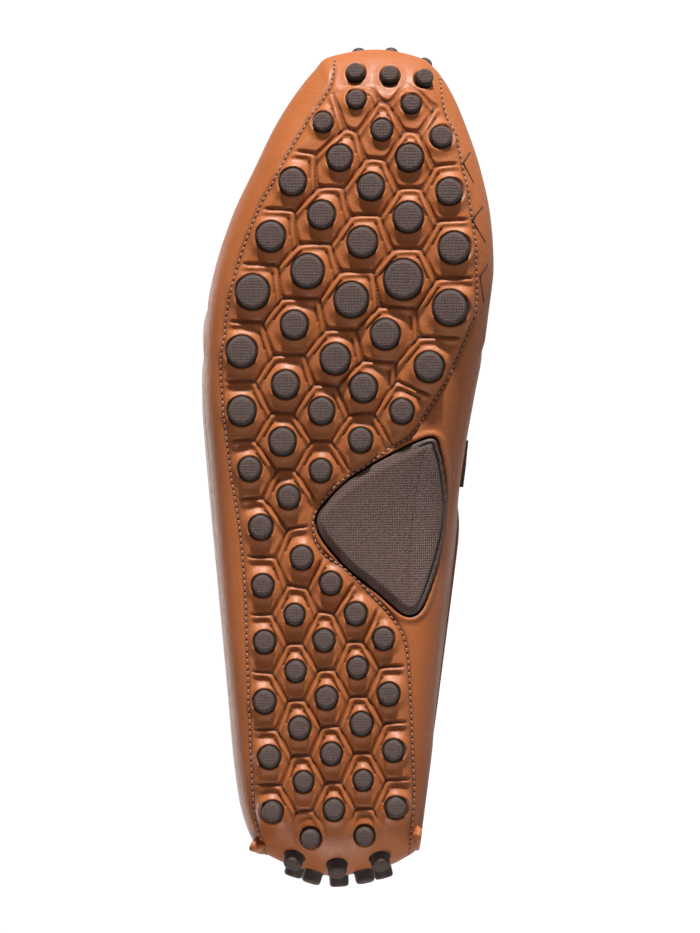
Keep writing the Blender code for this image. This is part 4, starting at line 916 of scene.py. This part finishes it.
def stitch_mesh(centres, ways, normals, length, radius, bow, sides=6, sections=7):
    """Tubes along each stitch's way: the middle bows out, the ends dive into the leather.
    Section s of -1 to 1 stands at s half lengths, bow times (1 - 2 s^4) high."""
    s = np.linspace(-1, 1, sections)
    phi = np.linspace(0, 2 * np.pi, sides + 1)[:-1]
    spine = (centres[:, None] + ways[:, None] * (s * length / 2)[None, :, None]
             + normals[:, None] * (bow * (1 - 2 * s ** 4))[None, :, None])
    width = radius * np.sqrt(np.clip(1.03 - s ** 6, 0.05, 1))
    cross = np.cross(ways, normals)
    tube = (spine[:, None] + cross[:, None, None] * (np.cos(phi)[:, None] * width)[None, ..., None]
            + normals[:, None, None] * (np.sin(phi)[:, None] * width)[None, ..., None])
    one = grid_faces(sides, sections, closed=True)
    faces = (one[None] + (np.arange(len(centres)) * sides * sections)[:, None, None]).reshape(-1, 4)
    return tube.reshape(-1, 3), faces


def hole_mesh(centres, normals, ways, radius):
    """Discs of eight corners painted dark as the needle holes' shade, a hair above the leather, longer along
    the seam.
    """
    phi = np.linspace(0, 2 * np.pi, 9)[:-1]
    cross = np.cross(ways, normals)
    rim_points = (centres[:, None] + normals[:, None] * 0.00008
                  + ways[:, None] * (np.cos(phi) * radius)[None, :, None]
                  + cross[:, None] * (np.sin(phi) * radius * 0.8)[None, :, None])
    quads = np.array([(0, 1, 2, 3), (3, 4, 7, 0), (4, 5, 6, 7)])
    faces = (quads[None] + (np.arange(len(centres)) * 8)[:, None, None]).reshape(-1, 4)
    return rim_points.reshape(-1, 3), faces


PALE_THREAD = thread_material("pale_waxed_thread", (0.42, 0.19, 0.11))
SEAM_PITCH = 0.0021
# Painted shade: near-black discs and strokes on the leather stand for the dark inside of the needle holes and
# the nicks.
hole_shade = bpy.data.materials.new("needle_hole_shade")
hole_shade.use_nodes = True
hole_speck = node_of(hole_shade.node_tree, "ShaderNodeTexNoise")
hole_speck.inputs["Scale"].default_value = 800
hole_shade.node_tree.links.new(mix_colours(hole_shade.node_tree, hole_speck.outputs[0], (0.012, 0.004, 0.002),
                                          (0.030, 0.010, 0.004)),
                              hole_shade.node_tree.nodes["Principled BSDF"].inputs["Base Color"])
hole_shade.node_tree.nodes["Principled BSDF"].inputs["Roughness"].default_value = 0.8

sewn_points, sewn_faces, hole_points, hole_faces, count = [], [], [], [], 0
for line in (lateral_line, medial_line):
    plan_line = resample(line, 0.0004)[0]
    _, climb = under(plan_line[:, 0], plan_line[:, 1])
    plan_line = plan_line[climb < 1.9]
    solid = bottom_point(plan_line[:, 0], plan_line[:, 1])
    marks, ways = resample(solid[0], SEAM_PITCH)
    normals = np.stack([np.interp(marks[:, 0], np.sort(plan_line[:, 0]),
                                  solid[1][np.argsort(plan_line[:, 0]), k]) for k in range(3)], -1)
    normals /= np.linalg.norm(normals, axis=1, keepdims=True)
    tubes, faces = stitch_mesh(marks, ways, normals, 0.0017, 0.00032, 0.00016)
    sewn_points.append(tubes)
    sewn_faces.append(faces + count)
    count += len(tubes)
    discs, faces = hole_mesh(marks + ways * SEAM_PITCH / 2, normals, ways, 0.00052)
    hole_faces.append(faces + sum(len(h) for h in hole_points))
    hole_points.append(discs)
make_piece("sole_stitches", np.vstack(sewn_points), np.vstack(sewn_faces), PALE_THREAD)
make_piece("sole_needle_hole_shade", np.vstack(hole_points), np.vstack(hole_faces), hole_shade)

# Three V-shaped cuts in the smooth leather outside the medial seam, where it was nicked
# to ease it round the ball. Each is a run of short strokes painted dark as the cut's shade.
NICKS = np.array([
    # along, across: one end, the point, the other end
    [(0.879, 0.466), (0.866, 0.444), (0.841, 0.480)],
    [(0.813, 0.511), (0.797, 0.476), (0.769, 0.521)],
    [(0.743, 0.528), (0.729, 0.503), (0.696, 0.516)],
])
nick_points, nick_faces = [], []
for corners in NICKS:
    for ends in (corners[:2], corners[1:]):
        stroke = np.linspace(*(ends * SCALE), 9)
        height, _ = under(stroke[:, 0], stroke[:, 1])
        _, stroke_normals, _ = bottom_point(stroke[:, 0], stroke[:, 1])
        solid_stroke = np.concatenate([stroke, height[:, None]], 1)
        marks, ways = resample(solid_stroke, 0.0006)
        picks = np.linspace(0, 8, len(marks)).round().astype(int)
        tubes, faces = stitch_mesh(marks, ways, stroke_normals[picks], 0.0010, 0.00020, 0.00002)
        nick_faces.append(faces + sum(len(p) for p in nick_points))
        nick_points.append(tubes)
make_piece("ball_nick_shade", np.vstack(nick_points), np.vstack(nick_faces), hole_shade)

collar = apron_share < 0.5
ordered = np.roll(np.arange(len(wall_turns)), -int(np.flatnonzero(collar & (wall_turns > 2))[0]))
collar_ribs = ordered[collar[ordered]]
row = len(levels) - 5
marks, ways = resample(walls[collar_ribs, row], 0.0027)
spread = np.linspace(0, len(collar_ribs) - 1, len(marks)).astype(int)
tubes, faces = stitch_mesh(marks, ways, wall_normal[collar_ribs[spread], row], 0.0021, 0.00028, 0.00015)
make_piece("collar_stitches", tubes, faces, PALE_THREAD)

# The apron: the plug over the toes with its tongue, one cut of the same calf. Its edge
# turns up and is sewn by hand to the upper's, which puckers.
APRON_WALL, TONGUE_END, TONGUE_BOW, CLEAR = 0.0018, 0.365, 0.012, 0.0003
RIDGE = np.array([
    # along, height
    (0.365, 1.10), (0.410, 1.05), (0.455, 1.00), (0.520, 0.945), (0.600, 0.865),
    (0.700, 0.762), (0.800, 0.668), (0.875, 0.610),
])
apron_turns = np.linspace(0.5, 2.5, 481)
apron_start, apron_angle, _ = ribs(apron_turns)
inward = -np.stack([np.cos(apron_angle), np.sin(apron_angle), 0 * apron_angle], -1)
apron_edge = skin(apron_turns, np.array([3.0]))[:, 0] + inward * (WALL + CLEAR)
ridge_height = INSTEP_HEIGHT * column(RIDGE, apron_start[:, 0] / LENGTH, 1)
ridge = np.concatenate([apron_start, ridge_height[:, None]], 1)
shares = np.linspace(0.03, 1, 34)
field = apron_edge[:, None] + (ridge - apron_edge)[:, None] * shares[None, :, None]
field[..., 2] = apron_edge[:, 2:] + (ridge - apron_edge)[:, 2:] * (1 - (1 - shares) ** 2)
APRON_EDGE = np.array([
    # in, up
    (0.0000, -0.0006), (0.0000, 0.0022), (0.0003, 0.0028), (0.0009, 0.0030), (0.0014, 0.0027),
    (0.0018, 0.0016), (0.0020, 0.0008),
])
lip = apron_edge[:, None] + inward[:, None] * APRON_EDGE[None, :, :1] + rise * APRON_EDGE[None, :, 1:]
apron_run = np.concatenate([[0], np.cumsum(np.linalg.norm(np.diff(apron_edge, axis=0), axis=1))])
wave = np.cos(2 * np.pi * apron_run / PUCKER_PITCH)[:, None, None]
lip = lip + rise * 0.00020 * wave
field[..., 2] += 0.00035 * wave[..., 0] * (1 - step(shares, 0.03, 0.22))
flex = 0.0009 * np.exp(-((field[..., 0] / LENGTH - 0.665) / 0.010) ** 2)
flex = flex + 0.0007 * np.exp(-((field[..., 0] / LENGTH - 0.615 - 0.1 * field[..., 1]) / 0.008) ** 2)
field[..., 2] -= flex * step(shares, 0.1, 0.4)
apron = np.concatenate([lip, field], axis=1)
before = np.concatenate([field[0], field[-1, ::-1][1:]])
centre, half = field[0, -1, 1], field[0, 0, 1] - field[0, -1, 1]
tongue_shares = np.linspace(0, 1, 40)
tongue_along = 0.5 + (TONGUE_END - 0.5) * tongue_shares
narrow = (1 - 0.10 * tongue_shares - 0.22 * tongue_shares ** 4)[:, None]
across = (before[None, :, 1] - centre) * narrow
tongue_x = tongue_along[:, None] * LENGTH + TONGUE_BOW * tongue_shares[:, None] * (across / half) ** 2
tongue_fall = (field[0, -1, 2] - before[None, :, 2]) * narrow
tongue_z = (INSTEP_HEIGHT * column(RIDGE, tongue_along, 1))[:, None] - tongue_fall
tongue = np.stack([tongue_x, centre + across, tongue_z], -1)
points = np.vstack([apron.reshape(-1, 3), tongue.reshape(-1, 3)])
faces = np.vstack([grid_faces(*apron.shape[:2]),
                   grid_faces(*tongue.shape[:2], first=apron.shape[0] * apron.shape[1])[:, ::-1]])
apron_piece = make_piece("apron_and_tongue", points, faces, tan_leather,
                         masks={"painted_shade_and_edge_paint": np.zeros(len(points))})
work = bmesh.new()
work.from_mesh(apron_piece.data)
bmesh.ops.remove_doubles(work, verts=work.verts[:], dist=0.000001)
work.to_mesh(apron_piece.data)
work.free()
apron_piece.data.shade_smooth()
thicken = apron_piece.modifiers.new("leather", "SOLIDIFY")
thicken.thickness = APRON_WALL * 0.8
thicken.offset = -1
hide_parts("apron")

# The hand-sewn seam: heavy thread over both lips, one loop in each pucker's valley.
loops = np.arange(PUCKER_PITCH * 0.5, apron_run[-1], PUCKER_PITCH)
seat = np.stack([np.interp(loops, apron_run, apron_edge[:, k]) for k in range(3)], -1)
way = np.stack([np.interp(loops, apron_run, inward[:, k]) for k in range(3)], -1)
way /= np.linalg.norm(way, axis=1, keepdims=True)
tubes, faces = stitch_mesh(seat - way * 0.0002 + rise * 0.0022, way, np.broadcast_to(rise, way.shape).copy(),
                           0.0048, 0.00045, 0.0011, sides=8, sections=11)
make_piece("apron_stitches", tubes, faces, PALE_THREAD)

# The saddle strap: a band of the same calf with dark painted edges, pulled over the
# instep and held in the seams. The piece is the CAD strap, welded, smooth-shaded and eased.
strap_leather = leather("strap_calf", (0.34, 0.100, 0.027), (0.040, 0.012, 0.006), (0.42, 0.14, 0.042))
STRAP_TAPER, STRAP_LIFT = 0.22, 0.0008    # the worn end draws in and stands off the floor
strap_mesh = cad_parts["strap"].data.copy()
strap_mesh.name = "saddle_strap"
work = bmesh.new()
work.from_mesh(strap_mesh)
bmesh.ops.remove_doubles(work, verts=work.verts[:], dist=0.00001)
bmesh.ops.join_triangles(work, faces=work.faces[:], angle_face_threshold=0.6, angle_shape_threshold=0.9)
work.to_mesh(strap_mesh)
work.free()
strap_mesh.materials.clear()
strap_mesh.materials.append(strap_leather)
strap_mesh.shade_smooth()
for layer in list(strap_mesh.uv_layers):
    strap_mesh.uv_layers.remove(layer)
strap_mesh.normals_split_custom_set_from_vertices([(0, 0, 0)] * len(strap_mesh.vertices))
strap = bpy.data.objects.new("saddle_strap", strap_mesh)
bpy.context.scene.collection.objects.link(strap)
coords = np.array([v.co for v in strap_mesh.vertices])
strap_x = (coords - LYING_PLACE) @ LYING[:, 0]
strap_half = (strap_x.max() - strap_x.min()) / 2
edge_mask = step(np.abs(strap_x - (strap_x.max() + strap_x.min()) / 2), strap_half - 0.0004, strap_half)
strap_low = (coords - LYING_PLACE) @ LYING[:, 2]
edge_mask = np.maximum(edge_mask, 1 - step(strap_low, strap_low.min() + 0.0004, strap_low.min() + 0.0030))
near_floor = 1 - step(coords[:, 2], 0.002, 0.016)
strap_middle = (coords[:, 0].max() + coords[:, 0].min()) / 2
coords[:, 0] = strap_middle + (coords[:, 0] - strap_middle) * (1 - STRAP_TAPER * near_floor)
coords[:, 2] += STRAP_LIFT * near_floor
strap_mesh.vertices.foreach_set("co", coords.astype(np.float32).ravel())
layer = strap_mesh.attributes.new("painted_shade_and_edge_paint", "FLOAT", "POINT")
layer.data.foreach_set("value", edge_mask.astype(np.float32))
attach(strap, "root")
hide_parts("strap")


# The heel's seams: the quarters meet the heel's flap in two lapped, raised seams, whose
# lower ends stand free as small ears at the heel's corners.
def heel_seam(name, low_turn, high_turn, node):
    """A ridge up the heel: rows from low to high, each an arch of 13 points across; the
    lowest rows are taller and a little wider, which makes the ear."""
    rows = 70
    share = np.linspace(0, 1, rows)
    climb = 1.60 + 1.30 * share
    turns = low_turn + (high_turn - low_turn) * share ** 0.8
    spot = np.stack([skin(turns[i:i + 1], climb[i:i + 1])[0, 0] for i in range(rows)])
    ahead = np.gradient(spot, axis=0)
    _, angles, _ = ribs(turns)
    out = np.stack([np.cos(angles), np.sin(angles), 0 * angles], -1)
    side = np.cross(ahead, out)
    side /= np.linalg.norm(side, axis=1, keepdims=True)
    normal = np.cross(side, ahead)
    normal /= np.linalg.norm(normal, axis=1, keepdims=True)
    normal *= np.sign((normal * out).sum(1, keepdims=True))
    ear = 1 - step(share, 0.02, 0.20)
    front = step(share, 0.0, 0.020)[:, None]
    tall = 0.0015 + 0.0032 * ear
    wide = 0.0020 + 0.0002 * ear
    s = np.linspace(-1, 1, 13)
    arch = np.clip(1 - np.abs(s) ** 2.6, 0, 1)
    lap = 0.00035 * step(s, -0.15, 0.15)
    points = (spot[:, None] + side[:, None] * (s[None, :, None] * wide[:, None, None])
              + normal[:, None] * ((front * arch * (tall[:, None] + lap))[..., None] - 0.0002))
    # Painted shade: darker along the seam's middle, where the lapped edge steps down.
    mask = np.broadcast_to(0.6 * np.exp(-(s / 0.12) ** 2), points.shape[:2])
    closed = np.concatenate([points, (spot[:, None] - normal[:, None] * 0.0006)], axis=1)
    mask = np.concatenate([mask, np.zeros((rows, 1))], axis=1)
    piece = make_piece(name, closed, grid_faces(*closed.shape[:2]), tan_leather,
                       masks={"painted_shade_and_edge_paint": mask})
    ends = piece.modifiers.new("thick", "SOLIDIFY")
    ends.thickness = 0.0003
    ends.offset = 0
    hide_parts(node)


heel_seam("heel_seam_inner", 3.81, 3.75, "heel_seam_medial")
heel_seam("heel_seam_outer", 3.24, 3.28, "heel_seam_lateral")

# The studio: white floor that turns up into a far white wall, a low key light from the
# toe that rakes over the sole, weak fills before it and at the heel, a strip above and a
# large soft light behind the shoe.
white = bpy.data.materials.new("white_paper")
white.use_nodes = True
tree = white.node_tree
paper = tree.nodes["Principled BSDF"]
paper.inputs["Base Color"].default_value = (0.2, 0.2, 0.2, 1)
paper.inputs["Roughness"].default_value = 0.9
glow = tree.nodes.new("ShaderNodeEmission")
glow.inputs["Color"].default_value = (1, 1, 1, 1)
glow.inputs["Strength"].default_value = 1.05
path = tree.nodes.new("ShaderNodeLightPath")
blend = tree.nodes.new("ShaderNodeMixShader")
seen = math_node(tree, "MULTIPLY", path.outputs["Is Glossy Ray"], 0.6)
tree.links.new(math_node(tree, "MAXIMUM", path.outputs["Is Camera Ray"], seen), blend.inputs[0])
paper.inputs["Emission Color"].default_value = (1, 1, 1, 1)
paper.inputs["Emission Strength"].default_value = 0.15
tree.links.new(paper.outputs[0], blend.inputs[1])
tree.links.new(glow.outputs[0], blend.inputs[2])
tree.links.new(blend.outputs[0], tree.nodes["Material Output"].inputs[0])
bend = np.linspace(0, np.pi / 2, 17)
curve = np.stack([8 + 2 * np.sin(bend), 2 - 2 * np.cos(bend)], -1)
profile = np.vstack([[(-14.0, 0.0)], curve, [(10.0, 18.0)]])
sweep = np.stack([np.broadcast_to(np.linspace(-15, 15, 7)[:, None], (7, len(profile))),
                  np.broadcast_to(profile[:, 0], (7, len(profile))),
                  np.broadcast_to(profile[:, 1], (7, len(profile)))], -1)
sweep_mesh = bpy.data.meshes.new("paper_sweep")
sweep_mesh.from_pydata(sweep.reshape(-1, 3).tolist(), [], grid_faces(7, len(profile)).tolist())
sweep_mesh.materials.append(white)
sweep_mesh.shade_smooth()
sweep_piece = bpy.data.objects.new("paper_sweep", sweep_mesh)
bpy.context.scene.collection.objects.link(sweep_piece)

world = bpy.data.worlds.new("studio")
bpy.context.scene.world = world
world.use_nodes = True
world.node_tree.nodes["Background"].inputs["Color"].default_value = (1.0, 0.98, 0.96, 1)
world.node_tree.nodes["Background"].inputs["Strength"].default_value = 0.04

SOLE_MIDDLE = Vector((-0.001, -0.043, 0.041))
TOE_WAY = Vector(LYING[:, 0])
TOWARDS_CAMERA = Vector((0.0, -1.0, 0.0))


def area_light(name, place, size, energy, aim=SOLE_MIDDLE):
    """A rectangular light that faces the shoe."""
    lamp = bpy.data.lights.new(name, "AREA")
    lamp.shape = "RECTANGLE"
    lamp.size, lamp.size_y = size
    lamp.energy = energy
    holder = bpy.data.objects.new(name, lamp)
    holder.location = place
    holder.rotation_mode = "QUATERNION"
    holder.rotation_quaternion = (aim - Vector(place)).to_track_quat("-Z", "Y")
    bpy.context.scene.collection.objects.link(holder)


area_light("key", SOLE_MIDDLE + TOE_WAY * 2.85 + TOWARDS_CAMERA * 1.04, (0.17, 0.17), 185)
area_light("fill", SOLE_MIDDLE + TOWARDS_CAMERA * 1.4 + Vector((0.5, 0, 0.5)), (0.8, 0.8), 0.2)
area_light("heel_fill", SOLE_MIDDLE - TOE_WAY * 1.25 + TOWARDS_CAMERA * 0.9, (0.8, 0.8), 1.2)
area_light("heel_glow", SOLE_MIDDLE - TOE_WAY * 0.45 + TOWARDS_CAMERA * 0.12, (0.16, 0.10), 1.9,
           aim=SOLE_MIDDLE - TOE_WAY * 0.13)
area_light("side_strip", SOLE_MIDDLE + Vector((0.0, -0.35, 1.0)), (1.0, 0.25), 2.0)
area_light("back_fill", SOLE_MIDDLE + Vector((-0.3, 1.6, 1.2)), (1.2, 1.2), 16)

CAMERA_AWAY, FRAME_HEIGHT = 5.0, 0.3233
camera_data = bpy.data.cameras.new("camera")
camera_data.sensor_width = 36
camera_data.lens = 36 * CAMERA_AWAY / FRAME_HEIGHT
camera_data.clip_start, camera_data.clip_end = 0.05, 50
camera = bpy.data.objects.new("camera", camera_data)
up = TOE_WAY
right = Vector((0, 1, 0)).cross(up)
camera.matrix_world = Matrix((right, up, (0, -1, 0))).transposed().to_4x4()
camera.location = SOLE_MIDDLE + TOWARDS_CAMERA * CAMERA_AWAY
bpy.context.scene.collection.objects.link(camera)
bpy.context.scene.camera = camera
bpy.context.scene.view_settings.view_transform = "Standard"
